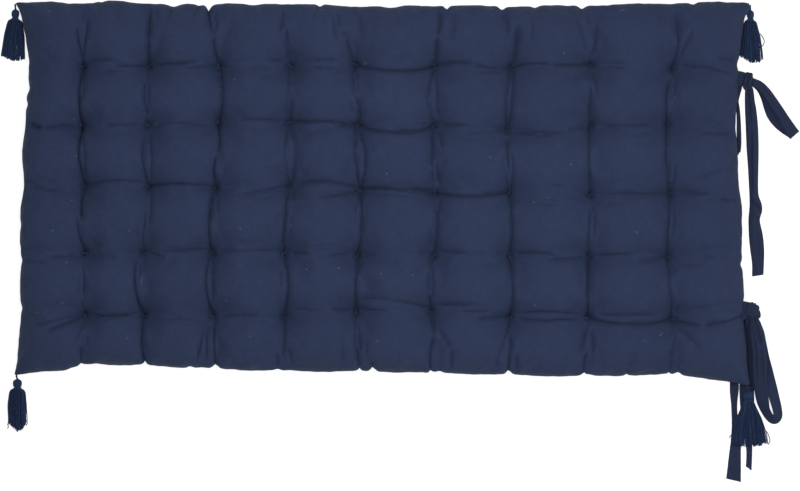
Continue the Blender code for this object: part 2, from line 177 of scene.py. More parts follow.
STRAYS = [
    Stray(5, 1, -0.004, 0.009),
    Stray(6, 1, -0.004, 0.009),
    Stray(9, 1, 0.003, -0.001),
    Stray(2, 2, -0.004, 0.001),
    Stray(3, 2, -0.003, 0.003),
    Stray(4, 2, -0.002, 0.003),
    Stray(9, 2, -0.004, 0.001),
    Stray(2, 3, 0.003, 0.000),
    Stray(4, 3, 0.003, 0.004),
    Stray(5, 3, 0.003, -0.002),
    Stray(6, 3, 0.002, -0.004),
    Stray(8, 3, 0.001, -0.004),
    Stray(1, 4, -0.003, -0.001),
    Stray(3, 4, 0.002, 0.004),
    Stray(4, 4, 0.000, 0.004),
    Stray(7, 4, -0.004, -0.006),
    Stray(9, 4, -0.004, 0.003),
    Stray(5, 5, -0.003, 0.003),
    Stray(7, 5, 0.003, -0.001),
    Stray(8, 5, 0.000, 0.003),
    Stray(9, 5, 0.003, -0.002),
]
Corner = namedtuple("Corner", "x y ear_x ear_y height")
FRONT_LEFT = Corner(-0.605, -0.308, -0.0085, -0.003, 0.014)
FRONT_RIGHT = Corner(0.6115, -0.322, 0.007, -0.008, 0.016)
BACK_LEFT = Corner(-0.5985, 0.3120, -0.0135, 0.0000, 0.014)
BACK_RIGHT = Corner(0.6045, 0.3125, 0.0135, -0.0015, 0.014)


def through(values, at):
    """Reads a smooth curve through evenly spaced values (numbers or vectors) at a place counted in values."""
    last = len(values) - 1
    i = min(int(at), last - 1)
    t = at - i
    a, b = values[i], values[i + 1]
    before = values[i - 1] if i > 0 else a + (a - b)
    after = values[i + 2] if i + 2 <= last else b + (b - a)
    slope_a, slope_b = (b - before) * 0.5, (after - a) * 0.5
    return (
        a * (2 * t**3 - 3 * t**2 + 1)
        + slope_a * (t**3 - 2 * t**2 + t)
        + b * (3 * t**2 - 2 * t**3)
        + slope_b * (t**3 - t**2)
    )


def tuft_net():
    """net[i][j] for column i and row j, with the seam's own places all round the tufts."""
    last_row = len(ROWS) - 1
    left = [Vector((FRONT_LEFT.x, FRONT_LEFT.y))]
    left += [Vector((row.left_edge, row.y_left)) for row in ROWS]
    left += [Vector((BACK_LEFT.x, BACK_LEFT.y))]
    net = [left]
    for column in COLUMNS:
        share = (column.x - COLUMNS[0].x) / (COLUMNS[-1].x - COLUMNS[0].x)
        line = [Vector((column.x + column.lean / 2, column.front_edge))]
        for j, row in enumerate(ROWS):
            x = column.x + column.lean * (0.5 - j / last_row)
            line.append(Vector((x, row.y_left + share * (row.y_right - row.y_left))))
        line.append(Vector((column.x - column.lean / 2, column.back_edge)))
        net.append(line)
    right = [Vector((FRONT_RIGHT.x, FRONT_RIGHT.y))]
    right += [Vector((row.right_edge, row.y_right)) for row in ROWS]
    right += [Vector((BACK_RIGHT.x, BACK_RIGHT.y))]
    net.append(right)
    for stray in STRAYS:
        net[stray.column][stray.row] += Vector((stray.x, stray.y))
    return net


NET = tuft_net()
SQUARES_X, SQUARES_Y = len(NET) - 1, len(NET[0]) - 1
CORNERS = [
    (FRONT_LEFT, 0, 0),
    (FRONT_RIGHT, SQUARES_X, 0),
    (BACK_LEFT, 0, SQUARES_Y),
    (BACK_RIGHT, SQUARES_X, SQUARES_Y),
]


def swell(at):
    return math.sin(math.pi * (at % 1)) ** 2


def plan(u, v):
    """The place on the floor of net place (u, v), with the seam's swells and the corners' ears."""
    place = through([through(line, v) for line in NET], u)
    place.x += SEAM_BULGE * swell(v) * (max(0, u - SQUARES_X + 1) - max(0, 1 - u))
    place.y += SEAM_BULGE * swell(u) * (max(0, v - SQUARES_Y + 1) - max(0, 1 - v))
    for corner, _, _ in CORNERS:
        ear = math.exp(-(place - Vector((corner.x, corner.y))).length / EAR_REACH)
        place += Vector((corner.ear_x, corner.ear_y)) * ear
    return place


def seam_height(u, v):
    height = SEAM_HEIGHT
    for corner, i, j in CORNERS:
        near = max(0, 1 - abs(u - i)) * max(0, 1 - abs(v - j))
        height += (corner.height - SEAM_HEIGHT) * near**2
    return height


def side_profile(at, squares):
    """0 at the seam, rising round the side to 1 well inside it."""
    inside = min(at, squares - at, SIDE_SHARE) / SIDE_SHARE
    return math.sqrt(1 - (1 - inside) ** 2)


def stuffing(at, squares):
    """1 in the middle of a square and 0 at its channels. An outer square stays full as far as its side."""
    if at < SIDE_SHARE or at > squares - SIDE_SHARE:
        return 1.0
    return 1 - abs(math.cos(math.pi * at)) ** (2 * CHANNEL_SOFTNESS)


def top_height(u, v):
    full_u, full_v = stuffing(u, SQUARES_X), stuffing(v, SQUARES_Y)
    channel = mattress_top * (CHANNEL_SHARE - TUFT_SHARE) * (full_u + full_v - full_u * full_v)
    crown = mattress_top * (1 - CHANNEL_SHARE) * full_u * full_v
    side = side_profile(u, SQUARES_X) * side_profile(v, SQUARES_Y)
    seam = seam_height(u, v)
    return seam + (mattress_top * TUFT_SHARE + channel + crown - seam) * side


# The upper panel is filled from below. It starts a little low and its tufts and seam are held, so the cloth,
# cut larger than its place, swells up between them and gathers where it has too little room.
FILL_CELLS_X, FILL_CELLS_Y = 18, 16  # cloth cells across one square
BUNCHING = 0.25  # how far the cells crowd towards the channels
START_SHARE = 0.88  # height that the cloth starts from, as a share of the height above the seam
START_RIPPLE = 0.0015
CLOTH_SETTINGS = {
    "quality": 6,
    "mass": 0.3,
    "tension_stiffness": 20,
    "compression_stiffness": 8,
    "shear_stiffness": 6,
    "bending_stiffness": 0.4,
    "air_damping": 2,
    "use_pressure": True,
    "uniform_pressure_force": 3.5,
    "shrink_min": -0.04,  # the cloth is cut this much larger than its place
}
FILLING_FRAMES = 20
FILLING_CAP = 0.025  # farthest that a point of the cloth may move
WRINKLES_KEPT = 0.35  # share of the cloth's own small wrinkles that is kept, beside its swelling
WRINKLE_CELLS = 5


def swelling(field):
    """The field (rows, columns, xyz) with its small wrinkles averaged out and its border kept."""
    field = field.copy()
    for _ in range(WRINKLE_CELLS):
        inner = field[:-2, 1:-1] + field[2:, 1:-1] + field[1:-1, :-2] + field[1:-1, 2:]
        field[1:-1, 1:-1] = field[1:-1, 1:-1] * 0.4 + inner * 0.15
    return field


def bunched(at):
    return at - BUNCHING * math.sin(2 * math.pi * at) / (2 * math.pi)


def fill_upper_panel():
    """Fills the upper panel and returns its places as an array [row of cells, column of cells, xyz]."""
    columns, rows = SQUARES_X * FILL_CELLS_X, SQUARES_Y * FILL_CELLS_Y
    bm = bmesh.new()
    bmesh.ops.create_grid(bm, x_segments=columns, y_segments=rows, size=1)
    cells = [(round((v.co.y + 1) / 2 * rows), round((v.co.x + 1) / 2 * columns)) for v in bm.verts]
    for vert, (row, column) in zip(bm.verts, cells):
        u, v = bunched(column / FILL_CELLS_X), bunched(row / FILL_CELLS_Y)
        x, y = plan(u, v)
        seam = seam_height(u, v)
        height = seam + (top_height(u, v) - seam) * START_SHARE
        if 0 < row < rows and 0 < column < columns:
            height += START_RIPPLE * noise.noise(Vector((x, y, 0)) * 30)
        vert.co = (x, y, height)
    mesh = bpy.data.meshes.new("filling_cloth")
    bm.to_mesh(mesh)
    bm.free()
    start = np.array([vert.co for vert in mesh.vertices])
    places = start
    cloth_object = add_object("filling_cloth", mesh)
    held = cloth_object.vertex_groups.new(name="held")
    for i, (row, column) in enumerate(cells):
        tuft = row % FILL_CELLS_Y == 0 and column % FILL_CELLS_X == 0
        if tuft or row in (0, rows) or column in (0, columns):
            held.add([i], 1, "REPLACE")
    cloth = cloth_object.modifiers.new("filling", "CLOTH").settings
    for setting, value in CLOTH_SETTINGS.items():
        setattr(cloth, setting, value)
    cloth.vertex_group_mass = held.name
    cloth.effector_weights.gravity = 0
    cloth_object.modifiers["filling"].collision_settings.use_collision = False
    scene = bpy.context.scene
    scene.frame_end = FILLING_FRAMES
    for step in range(1, FILLING_FRAMES + 1):
        scene.frame_set(step)
    filled = cloth_object.evaluated_get(bpy.context.evaluated_depsgraph_get()).to_mesh()
    moved = np.array([vert.co for vert in filled.vertices]) - start
    reach = np.linalg.norm(moved, axis=1, keepdims=True)
    places = start + moved * np.minimum(1, FILLING_CAP / np.maximum(reach, 1e-9))
    bpy.data.objects.remove(cloth_object)
    scene.frame_set(1)
    table = np.zeros((rows + 1, columns + 1, 3))
    moved = np.zeros_like(table)
    for before, after, (row, column) in zip(start, places, cells):
        table[row, column] = before
        moved[row, column] = after - before
    return table + moved * WRINKLES_KEPT + swelling(moved) * (1 - WRINKLES_KEPT)


filled_panel = fill_upper_panel()


def widened(table):
    """Adds a row beyond each edge of the table, so that a smooth curve can be read up to the edge."""
    table = np.concatenate([2 * table[:1] - table[1:2], table, 2 * table[-1:] - table[-2:-1]])
    left, right = 2 * table[:, :1] - table[:, 1:2], 2 * table[:, -1:] - table[:, -2:-1]
    return np.concatenate([left, table, right], axis=1)


def read_panel(column, row):
    """Places on the filled panel at arrays of cell counts, on smooth curves through the simulated points."""
    table = widened(filled_panel)
    i = np.clip(column.astype(int), 0, filled_panel.shape[1] - 2)
    j = np.clip(row.astype(int), 0, filled_panel.shape[0] - 2)

    def weights(t):
        return (
            (-(t**3) + 2 * t**2 - t) / 2,
            (3 * t**3 - 5 * t**2 + 2) / 2,
            (-3 * t**3 + 4 * t**2 + t) / 2,
            (t**3 - t**2) / 2,
        )

    across, along = weights(column - i), weights(row - j)
    place = np.zeros((len(i), 3))
    for b in range(4):
        for a in range(4):
            place += (across[a] * along[b])[:, None] * table[j + b, i + a]
    return place


# Creases pressed into the upper panel. The threads pull the cloth into them, so each follows a line of tufts:
# an upright one a line across the width, a level one a line along the length.

# The tables list the creases by the number of their line. first and last are a crease's two ends, counted in
# tufts. from_side, bow and to_side say how far it lies beside the line at its start, in its middle and at its
# end, to +X for an upright crease and to +Y for a level one. They, depth and width are in mm.
Crease = namedtuple("Crease", "line first last from_side bow to_side depth width")
UPRIGHT_CREASES = {
    1: [
        (5, 5.65, 0, -1, -10, 5, 2.5), (5.05, 5.8, 0, -1, 9, 4, 2.5), (6, 5.82, 31, 0, 25, 2, 1.8),
        (5, 4, 0, -5, 0, 6.5, 2.5), (4.9, 4.4, 0, 1, 1, 2, 2), (4, 3, 0, -6, 0, 6.5, 2.5),
        (3.85, 3.05, 1, 2, 0, 2.5, 1.8), (3, 2.45, 0, -3, -3, 6, 2.2), (2.6, 2, -11, -4, 0, 4, 3.5),
        (1.7, 1.05, -7, -5, 0, 2.5, 2.5), (1.95, 1.25, -1, 0, -2, 3, 2.2), (0.85, 0.42, -3, 0, -15, 3, 3),
        (0.36, 0, -7, 0, -7, 4, 2.2), (0.6, 0.38, 2, 0, 3, 1.5, 2.5),
    ],
    2: [
        (5, 5.95, 0, -1, 2, 6, 2.5), (5.1, 5.65, -1, -2, -3, 3.5, 2.2), (5.95, 5.7, 14, 0, 12, 2, 2.5),
        (5.95, 5.75, 37, 0, 34, 3, 2.6), (4.95, 4.1, -1, -5, 0, 3.5, 2.2), (4.9, 4.3, 0, 0, 1, 3, 2),
        (3.9, 3, -2, -8, 0, 3.5, 2.2), (3.9, 3.05, 2, 4, 2, 3, 2), (3, 2.4, 3, 3, 6, 3.5, 2.2),
        (2.65, 2.05, -1, 1, -1, 3.5, 2.2), (2.5, 2.2, -11, 0, -8, 2, 3), (1.95, 1, -7, -9, 0, 6.5, 2.5),
        (1.88, 1.6, -3, 0, -5, 3, 2.2), (1, 0, 0, -4, 2, 6, 2.4),
    ],
    3: [
        (5, 5.5, 0, -2, -8, 6, 2.4), (5.5, 6, -8, -3, -17, 6, 2.6), (5.53, 5.77, -7, 0, -2, 3.5, 2.4),
        (5.65, 5.95, -9, 0, -3, 3, 2.2), (6, 5.82, -34, 0, -43, 3.5, 2.6), (5, 4, 0, 6, 0, 6, 2.4),
        (4.9, 4.15, -1, 1, 3, 4, 2), (4, 3.5, 0, 3, 0, 6.5, 2.4), (3.5, 3, 0, -4, 0, 6.5, 2.4),
        (3, 2, 0, -7, 0, 6.5, 2.4), (2.95, 2.6, 2, 0, 6, 2, 2), (2, 1, 0, -9, 0, 5.5, 2.2),
        (1.95, 1.15, 0, 2, 0, 4, 2), (0.88, 0.08, -5, -3, -25, 5.5, 2.6), (0.9, 0.1, -3, -3, -8, 5, 2.6),
        (0.95, 0, 1, 0, 6, 5, 2.4), (0.7, 0.15, 7, 4, 11, 2.5, 2.6),
    ],
    4: [
        (5, 5.65, 0, -2, -7, 4.5, 4), (5.5, 5.95, -17, 0, -10, 4, 3), (5.97, 5.78, 46, 0, 38, 3.5, 2.6),
        (5, 4, 0, -3, 0, 3.5, 4), (4.5, 4, 1, 2, 0, 3, 2.4), (4, 3, 0, -7, 0, 3, 2.2),
        (4, 3, 0, 11, 0, 3.5, 2.6), (3, 2, 0, -4, 0, 4.5, 2.4), (3, 2.8, 0, 2, 9, 4, 2.4),
        (2.6, 2.2, 8, 0, 6, 1.5, 2.5), (2, 1, 0, 7, 0, 6, 2.6), (1.75, 1.45, -5, 0, -5, 2, 2.2),
        (1, 0.2, 0, 1, -2, 5, 2.5), (0.8, 0.5, -6, 0, -8, 1.5, 2.5), (0.42, 0.08, 8, 0, 14, 3.5, 2.6),
        (0.3, 0.05, -11, 0, -12, 3, 2.4),
    ],
    5: [
        (5, 5.5, 0, -2, -14, 5, 3), (5.5, 5.55, -14, 0, -25, 4, 3), (5.38, 5.88, -32, 0, -42, 4.5, 3),
        (5.9, 5.65, -30, 0, -29, 3.5, 2.6), (5.85, 5.6, 4, 0, 8, 1.2, 3), (5, 4.5, 0, -3, 0, 5, 2.4),
        (4.5, 4, 0, 4, 0, 5, 2.4), (4.9, 4.5, 3, 0, 3, 2.5, 2), (4.45, 4.15, -11, 0, -5, 2, 2.6),
        (4, 3, 0, -5, 0, 4, 2.2), (4, 3, 0, 11, 0, 5, 2.4), (3, 2, 0, 5, 0, 5.5, 2.4),
        (2.9, 2.4, -5, -2, -5, 1.5, 2.5), (2.9, 2.5, 10, 2, 10, 1.5, 2.5), (2, 1, 0, -1, 0, 5.5, 2.5),
        (1, 0, 0, -2, 2, 4.5, 2.2), (0.85, 0.3, 4, 0, 5, 4.5, 2.2), (0.6, 0.15, -22, 0, -26, 3, 3),
        (0.5, 0.1, 13, 0, 18, 2.5, 2.8), (0.15, 0, 24, 0, 24, 4, 2.2), (0.42, 0.28, 47, 0, 47, 1.2, 3),
    ],
    6: [
        (5, 5.5, 0, 0, 3, 6, 2.8), (5.5, 5.95, 3, 3, 8, 5.5, 2.8), (5.42, 5.92, 26, 0, 34, 3.5, 4),
        (5, 4, 0, -10, 0, 4.5, 2.4), (4.5, 4.1, -3, -3, -2, 2.5, 2), (4.95, 4.1, 0, 1, 6, 4, 2.2),
        (4, 3.05, 0, -4, -1, 5, 2.6), (3.95, 3.65, 4, 0, 13, 3.5, 2.4), (3.5, 3.1, 2, 0, 7, 4.5, 2.4),
        (2.97, 2, 7, 1, 0, 5.5, 2.6), (2.85, 2.6, 2, 0, 1, 2, 2), (2.45, 2.1, -5, 0, -5, 3, 2.4),
        (2, 1, 0, -5, 0, 4, 2.2), (1.9, 1.2, 1, 0, 1, 4, 2.2), (1, 0.6, 0, 1, 4, 6, 2.6),
        (0.6, 0, 4, -3, -4, 6, 2.8), (0.78, 0.36, 8, 0, 32, 4, 2.8), (0.38, 0.02, 32, 0, 31, 5.5, 2.8),
        (0.32, 0.1, -58, 0, -58, 1.8, 3),
    ],
    7: [
        (5, 5.7, 0, 3, 10, 6, 2.8), (5.5, 5.95, -2, 0, -9, 3.5, 2.6), (5.4, 5.87, 31, 2, 35, 3.5, 3),
        (5, 4, 0, -4, 0, 5, 2.2), (5, 4, 0, 5, 0, 5.5, 2.2), (3.9, 3.3, 0, -1, -1, 5.5, 2.2),
        (3.6, 3, -6, -4, 0, 3, 2), (3.7, 3, 4, 4, 0, 3.5, 2), (3, 2, 0, 3, 0, 6.5, 2.4),
        (2, 1, 0, 5, 0, 6, 2.4), (1.8, 1.4, -3, 0, -3, 2.5, 2), (1, 0.6, 2, 0, -8, 6, 2.4),
        (0.65, 0.1, -6, 0, -25, 3.5, 2.8), (0.8, 0, 1, 1, -3, 6, 2.6), (0.38, 0.03, 11, 0, 13, 3.5, 3),
    ],
    8: [
        (5.2, 5.85, -6, 1, -27, 4, 3), (5.1, 5.7, 1, 3, 5, 5, 3), (5.9, 5.7, -6, 0, -4, 2.5, 2.6),
        (4.95, 4.4, 0, 3, 8, 4, 2.6), (4.7, 4, -1, -2, 0, 5, 2.4), (4, 3, 0, -3, 0, 5, 2.6),
        (2.85, 2, -1, -1, 0, 4.5, 2.4), (2.85, 2.3, 1, 4, 6, 4, 2.4), (2, 1, 0, 0, 0, 6.5, 2.5),
        (1.8, 1.45, -10, 0, -11, 2, 2.6), (0.9, 0.35, -2, 0, -12, 4.5, 3), (0.85, 0.35, 4, 3, 6, 4.5, 3),
        (0.45, 0, 0, -2, -6, 5.5, 2.8), (0.5, 0.1, 18, 0, 25, 2.5, 3.2), (0.35, 0.1, -38, 0, -40, 2, 3.2),
        (0.42, 0, 77, 0, 65, 3, 3),
    ],
    9: [
        (5, 5.9, 0, 6, 9, 5, 2.8), (5.1, 5.6, 8, 0, 35, 4.5, 2.8), (5.9, 5.6, -22, 0, -16, 1.2, 3),
        (4.85, 4, -3, -4, 0, 5.5, 2.6), (4.95, 4.45, 2, 3, 5, 3, 2.4), (4, 3, 0, -5, 0, 5.5, 2.4),
        (3.5, 3.15, 0, 0, 1, 2, 2), (3.42, 3, 11, -1, 0, 3.5, 2.4), (3, 2, 0, -2, 0, 5.5, 2.4),
        (2.9, 2.25, 2, 4, 4, 3, 2.4), (2, 1, 0, 0, 0, 4.5, 2.6), (1.9, 1.75, 3, 0, 10, 2.5, 2.4),
        (1.25, 1.05, 10, 0, 4, 3.5, 2.4), (0.75, 0, 3, 1, -2, 3.5, 3), (0.35, 0.05, 15, 0, 10, 2, 3),
        (0.95, 0.42, 6, 0, 52, 4.5, 2.6),
    ],
}
LEVEL_CREASES = {
    5: [
        (0.15, 0.4, 24, 0, 21, 1.5, 2.5), (1.03, 1.5, 3, 3, 8, 3.5, 2.2), (1.5, 2, -1, 0, 0, 4.5, 2.2),
        (1.3, 1.75, -8, 0, -9, 2, 1.8), (2.03, 2.75, 0, 1, 6, 5, 2), (2.5, 3, -2, 0, 0, 3.5, 2),
        (3.15, 3.5, 4, 2, 11, 1.8, 2.5), (3.65, 3.95, 10, 0, 8, 3, 2), (3.35, 3.75, -2, 0, -3, 1.5, 2),
        (3.45, 3.8, -16, 0, -16, 1.2, 2), (4.1, 4.8, 7, 2, 4, 3, 2), (4.25, 4.75, -2, 0, -6, 2, 1.8),
        (5, 6, 0, -9, 0, 6.5, 2.2), (6, 6.5, 0, 4, 4, 5, 2), (6.5, 7, 4, -4, -1, 5, 2),
        (6.5, 6.95, -9, 0, -7, 2.5, 2), (7, 7.5, 0, 3, 1, 5, 2.2), (7.5, 8, 1, 0, 0, 5, 2.2),
        (7.15, 7.4, -4, 0, -4, 2, 1.8), (8.1, 8.4, 3, 0, 3, 2.5, 2), (8.15, 8.42, -3, 0, -4, 2.5, 2),
        (9.08, 9.95, 3, 3, -12, 3.5, 2.2), (9.65, 9.97, 13, 1, 9, 3, 2.4),
    ],
    4: [
        (0.05, 0.3, 3, -2, -5, 5, 2.2), (0.3, 0.98, -5, 3, -2, 5, 2.6), (1.3, 1.9, 0, -1, 0, 2.5, 2),
        (2.1, 2.9, 4, -2, -2, 2.5, 2), (3.25, 3.97, 4, 1, 2, 4, 2), (4, 5, 1, 3, 0, 5.5, 2),
        (5, 6, 0, -10, -1, 6.5, 2.4), (6.03, 6.5, 0, 0, 3, 3.5, 2), (6.38, 6.68, -19, 0, -16, 1.5, 2.2),
        (6.85, 7, -2, 0, 0, 3, 2.4), (7.05, 7.72, -1, -4, -7, 4, 2.2), (7.35, 7.6, -12, 0, -11, 1.5, 2),
        (7.7, 7.97, -5, 0, -1, 3.5, 2.2), (8.1, 8.9, -5, 1, 2, 2.8, 2), (8.5, 8.78, -18, 0, -12, 1.8, 2),
        (9.45, 9.95, -13, 0, -11, 4, 3.5),
    ],
    3: [
        (0.02, 0.2, 9, 0, 4, 2.5, 2.4), (0.05, 0.7, 5, -5, -5, 2.5, 2.4), (1, 1.97, 0, 7, 4, 3.5, 2),
        (2, 3, 0, 5, 0, 5.5, 2.2), (2.6, 3, -2, 0, -1, 2.5, 1.8), (3.25, 4, -10, -5, 2, 4, 2.4),
        (3.3, 3.7, -15, 0, -13, 1.5, 2), (3.05, 3.35, 3, 0, 4, 1.5, 2), (4.02, 5, 3, 7, 3, 4.5, 2.2),
        (5, 4.4, 0, -1, -15, 3.5, 2.2), (5, 6, 1, 5, 0, 6.5, 2.2), (5.15, 5.75, -1, 0, -7, 2, 2),
        (6, 7, 0, -6, 0, 6.5, 2.2), (6.25, 6.7, -7, -1, -7, 2.5, 1.8), (7.35, 7.65, -18, 0, -18, 1.2, 2),
        (8.05, 9, 2, -1, 0, 3.5, 2.2), (9.03, 9.6, 3, 2, -2, 3.5, 2.2), (9.7, 9.97, -9, 0, -10, 3, 2.4),
        (9.33, 9.93, 21, 2, 43, 3.5, 2.6),
    ],
    2: [
        (0.4, 0.93, -6, 0, -4, 3.5, 2.4), (0.05, 0.4, -12, -1, -15, 2.5, 2.6), (1.05, 1.6, -4, 0, -6, 2, 2),
        (1.7, 1.93, 1, 0, 2, 2, 2), (2.25, 2.97, 1, 2, 3, 4, 2.2), (2.05, 2.35, 0, 0, -7, 2, 2),
        (3.05, 3.9, 3, 1, 1, 2.5, 2.4), (4.08, 4.35, 0, 0, 0, 3.5, 2.4), (4.5, 4.95, -3, 0, 1, 3, 2.4),
        (4.4, 4.7, 12, 0, 15, 1.2, 2.2), (5.05, 5.25, 1, 0, -2, 3, 2.4), (5.5, 5.62, -20, 0, -20, 1.5, 2),
        (5.8, 5.95, 6, 0, 3, 2, 2.4), (6.05, 6.45, 5, 0, 4, 2.5, 2.4), (6.82, 6.95, 4, 0, 2, 3, 2.6),
        (7.03, 7.6, 2, 4, 0, 4, 2.2), (7.45, 7.97, -5, 0, -1, 4, 2.2), (8.03, 8.55, 0, 1, 3, 3.5, 2.2),
        (8.58, 9, -7, 0, 0, 4, 2.4), (8.6, 8.9, -10, 0, -5, 2, 2), (9.4, 9.9, 1, 0, 0, 1.5, 2.4),
        (9.2, 9.5, -12, 0, -12, 1.5, 2.4),
    ],
    1: [
        (1, 0.38, 0, 1, -29, 5.5, 2.6), (0.95, 0.15, 0, 1, -20, 3.5, 2.4), (0.75, 0.5, 12, 0, 15, 2, 6),
        (1.05, 1.95, 0, -3, 2, 6, 2.4), (1.1, 1.4, -3, 0, -10, 2.5, 2.2), (2.1, 2.85, -8, 0, -5, 2, 2.2),
        (3.05, 3.7, -1, 0, 1, 2.8, 2.2), (3.5, 3.85, -9, 0, -8, 1.3, 2.2), (4.08, 4.5, 10, 0, 5, 1.8, 2.2),
        (4.65, 4.97, 5, 0, 1, 3.5, 2.2), (4.2, 4.65, 55, 0, 50, 1.5, 2.4), (5.05, 5.45, 20, 2, 17, 3, 2.2),
        (5.45, 6, 17, 2, 3, 3.5, 2.2), (5.04, 5.45, 2, 0, 0, 4, 2.4), (5.15, 5.5, -4, 0, -7, 2, 2.2),
        (6.05, 6.65, 9, 1, 17, 3.5, 2.2), (6.35, 6.75, 4, 0, 7, 2.8, 2), (6.55, 7, -6, 0, 0, 3.5, 2.4),
        (7.03, 7.97, 5, 6, 3, 4, 2.2), (7.05, 7.97, 0, -4, 1, 5, 2.4), (8.08, 8.87, 5, 0, 8, 3.5, 2.2),
        (8, 9, 0, -9, 0, 6, 2.4), (9, 9.4, 0, -2, -10, 5, 2.4), (9.4, 10, -10, -3, 5, 4.5, 2.4),
        (9.2, 9.95, 15, 0, 30, 2, 3.5),
    ],
}
CREASE_STEPS = 8
CREASE_WAVER = 0.0006  # how far a crease wavers beside its smooth line
CREASE_PULL = 0.8  # how far the cloth's cells crowd to a crease, and from how far away
CREASE_PULL_REACH = 0.0045
CREASE_TAPER = 0.25  # share of a crease's length over which a free end fades out
CREASE_DEPTH = 1.5
SHARP_SHARE = 0.65  # share of a crease's depth that is its sharp fold, the rest is the dip round it
SHARP_WIDTHS = 0.45
DIP_WIDTHS = 2.4
EDGE_REACH = 0.014  # how far in from the seam a crease turns from pressing down to drawing in
RUMPLE_DEPTH = 0.0009
RUMPLES_PER_METRE = 34


def crease_line(crease, upright):
    """Points along one crease on the floor plan, and how deep it is at each of them, from 0 to 1."""
    line, depths = [], []
    for step in range(CREASE_STEPS + 1):
        share = step / CREASE_STEPS
        at = crease.first + (crease.last - crease.first) * share
        side = crease.from_side + (crease.to_side - crease.from_side) * share
        side = (side + 4 * crease.bow * share * (1 - share)) / 1000
        place = plan(crease.line, at) if upright else plan(at, crease.line)
        ends_in = min(share, 1 - share)
        waver = noise.noise(Vector((place.x, place.y, crease.line)) * 90) * CREASE_WAVER * min(1, 6 * ends_in)
        place += Vector((side + waver, 0) if upright else (0, side + waver))
        line.append(place)
        fade = 1.0
        if crease.first % 1:  # an end that isn't held at a tuft fades out
            fade = min(fade, share / CREASE_TAPER)
        if crease.last % 1:
            fade = min(fade, (1 - share) / CREASE_TAPER)
        depths.append(fade * (2 - fade))
    return np.array(line), np.array(depths)


creases = []
for table, upright in ((UPRIGHT_CREASES, True), (LEVEL_CREASES, False)):
    for line_number, rows in table.items():
        for row in rows:
            crease = Crease(line_number, *row)
            creases.append((crease, *crease_line(crease, upright)))

# Tufts. Round each one the thread draws the cloth down into a narrow pinch in a wider hollow, and short rays
# of creases run out from it like a small star.
TUFTS = [(i, j) for i in range(1, SQUARES_X) for j in range(1, SQUARES_Y)]
STAR_RAYS = 5
STAR_REACH = 0.017
STAR_DEPTH = 3.5
STAR_WIDTH = 2.4
STAR_FADE = np.array([1, 0.85, 0.55, 0.25, 0])  # how deep a ray still is at each quarter of its length
PINCH_DEPTH = 0.009
PINCH_RADIUS = 0.0050
HOLLOW_DEPTH = 0.0015
HOLLOW_RADIUS = 0.020
PINCH_PULL = 0.55
PINCH_PULL_REACH = 0.009

rng = random.Random(45)
for i, j in TUFTS:
    turn = rng.uniform(0, 2 * math.pi)
    for ray in range(STAR_RAYS):
        angle = turn + 2 * math.pi * (ray + rng.uniform(-0.3, 0.3)) / STAR_RAYS
        reach = STAR_REACH * rng.uniform(0.5, 1.1)
        way = Vector((math.cos(angle), math.sin(angle)))
        line = np.array([NET[i][j] + way * reach * k / 4 for k in range(5)])
        star = Crease(i, j, j, 0, 0, 0, STAR_DEPTH * rng.uniform(0.5, 1.2), STAR_WIDTH)
        creases.append((star, line, STAR_FADE))


def tuft_distance(places):
    """How far each place is from its nearest tuft, and the way to it."""
    nearest = np.full(len(places), 1.0)
    way = np.zeros((len(places), 2))
    for i, j in TUFTS:
        to_tuft = np.array(NET[i][j]) - places
        away = np.linalg.norm(to_tuft, axis=1)
        nearer = away < nearest
        nearest[nearer] = away[nearer]
        way[nearer] = to_tuft[nearer]
    return nearest, way


def near_crease(places, line, depths, reach):
    """For the places within reach of a crease: their numbers, the way to it, and its depth there."""
    low, high = line.min(0) - reach, line.max(0) + reach
    close = np.nonzero(((places > low) & (places < high)).all(1))[0]
    spot = places[close]
    best = np.full(len(close), np.inf)
    way = np.zeros((len(close), 2))
    depth = np.zeros(len(close))
    for k in range(len(line) - 1):
        step = line[k + 1] - line[k]
        share = np.clip((spot - line[k]) @ step / max(step @ step, 1e-12), 0, 1)
        to_line = line[k] + share[:, None] * step - spot
        away = np.linalg.norm(to_line, axis=1)
        nearer = away < best
        best[nearer] = away[nearer]
        way[nearer] = to_line[nearer]
        depth[nearer] = (depths[k] + (depths[k + 1] - depths[k]) * share)[nearer]
    return close, way, best, depth


def crowd_to_creases(column, row):
    """Moves cell counts so that the cells crowd to the nearest crease."""
    place = read_panel(column, row)[:, :2]
    nearest = np.full(len(place), CREASE_PULL_REACH * 2.5)
    shift = np.zeros_like(place)
    for _, line, depths in creases:
        close, way, away, depth = near_crease(place, line, depths, CREASE_PULL_REACH * 2.5)
        better = away < nearest[close]
        chosen = close[better]
        nearest[chosen] = away[better]
        pull = CREASE_PULL * np.exp(-((away[better] / CREASE_PULL_REACH) ** 2)) * np.sqrt(depth[better])
        shift[chosen] = way[better] * pull[:, None]
    away, way = tuft_distance(place)
    shift += way * (PINCH_PULL * np.exp(-((away / PINCH_PULL_REACH) ** 2)))[:, None]
    step = 0.5
    across = (read_panel(column + step, row) - read_panel(column - step, row))[:, :2] / (2 * step)
    along = (read_panel(column, row + step) - read_panel(column, row - step))[:, :2] / (2 * step)
    area = across[:, 0] * along[:, 1] - across[:, 1] * along[:, 0]
    area = np.where(np.abs(area) < 1e-6, 1e-6, area)
    more_column = (shift[:, 0] * along[:, 1] - shift[:, 1] * along[:, 0]) / area
    more_row = (across[:, 0] * shift[:, 1] - across[:, 1] * shift[:, 0]) / area
    last_column, last_row = filled_panel.shape[1] - 1, filled_panel.shape[0] - 1
    edge = np.minimum.reduce([column, last_column - column, row, last_row - row])
    ease = np.clip(edge / 2, 0, 1)
    more_column, more_row = np.clip(more_column, -1, 1) * ease, np.clip(more_row, -1, 1) * ease
    return column + more_column, row + more_row


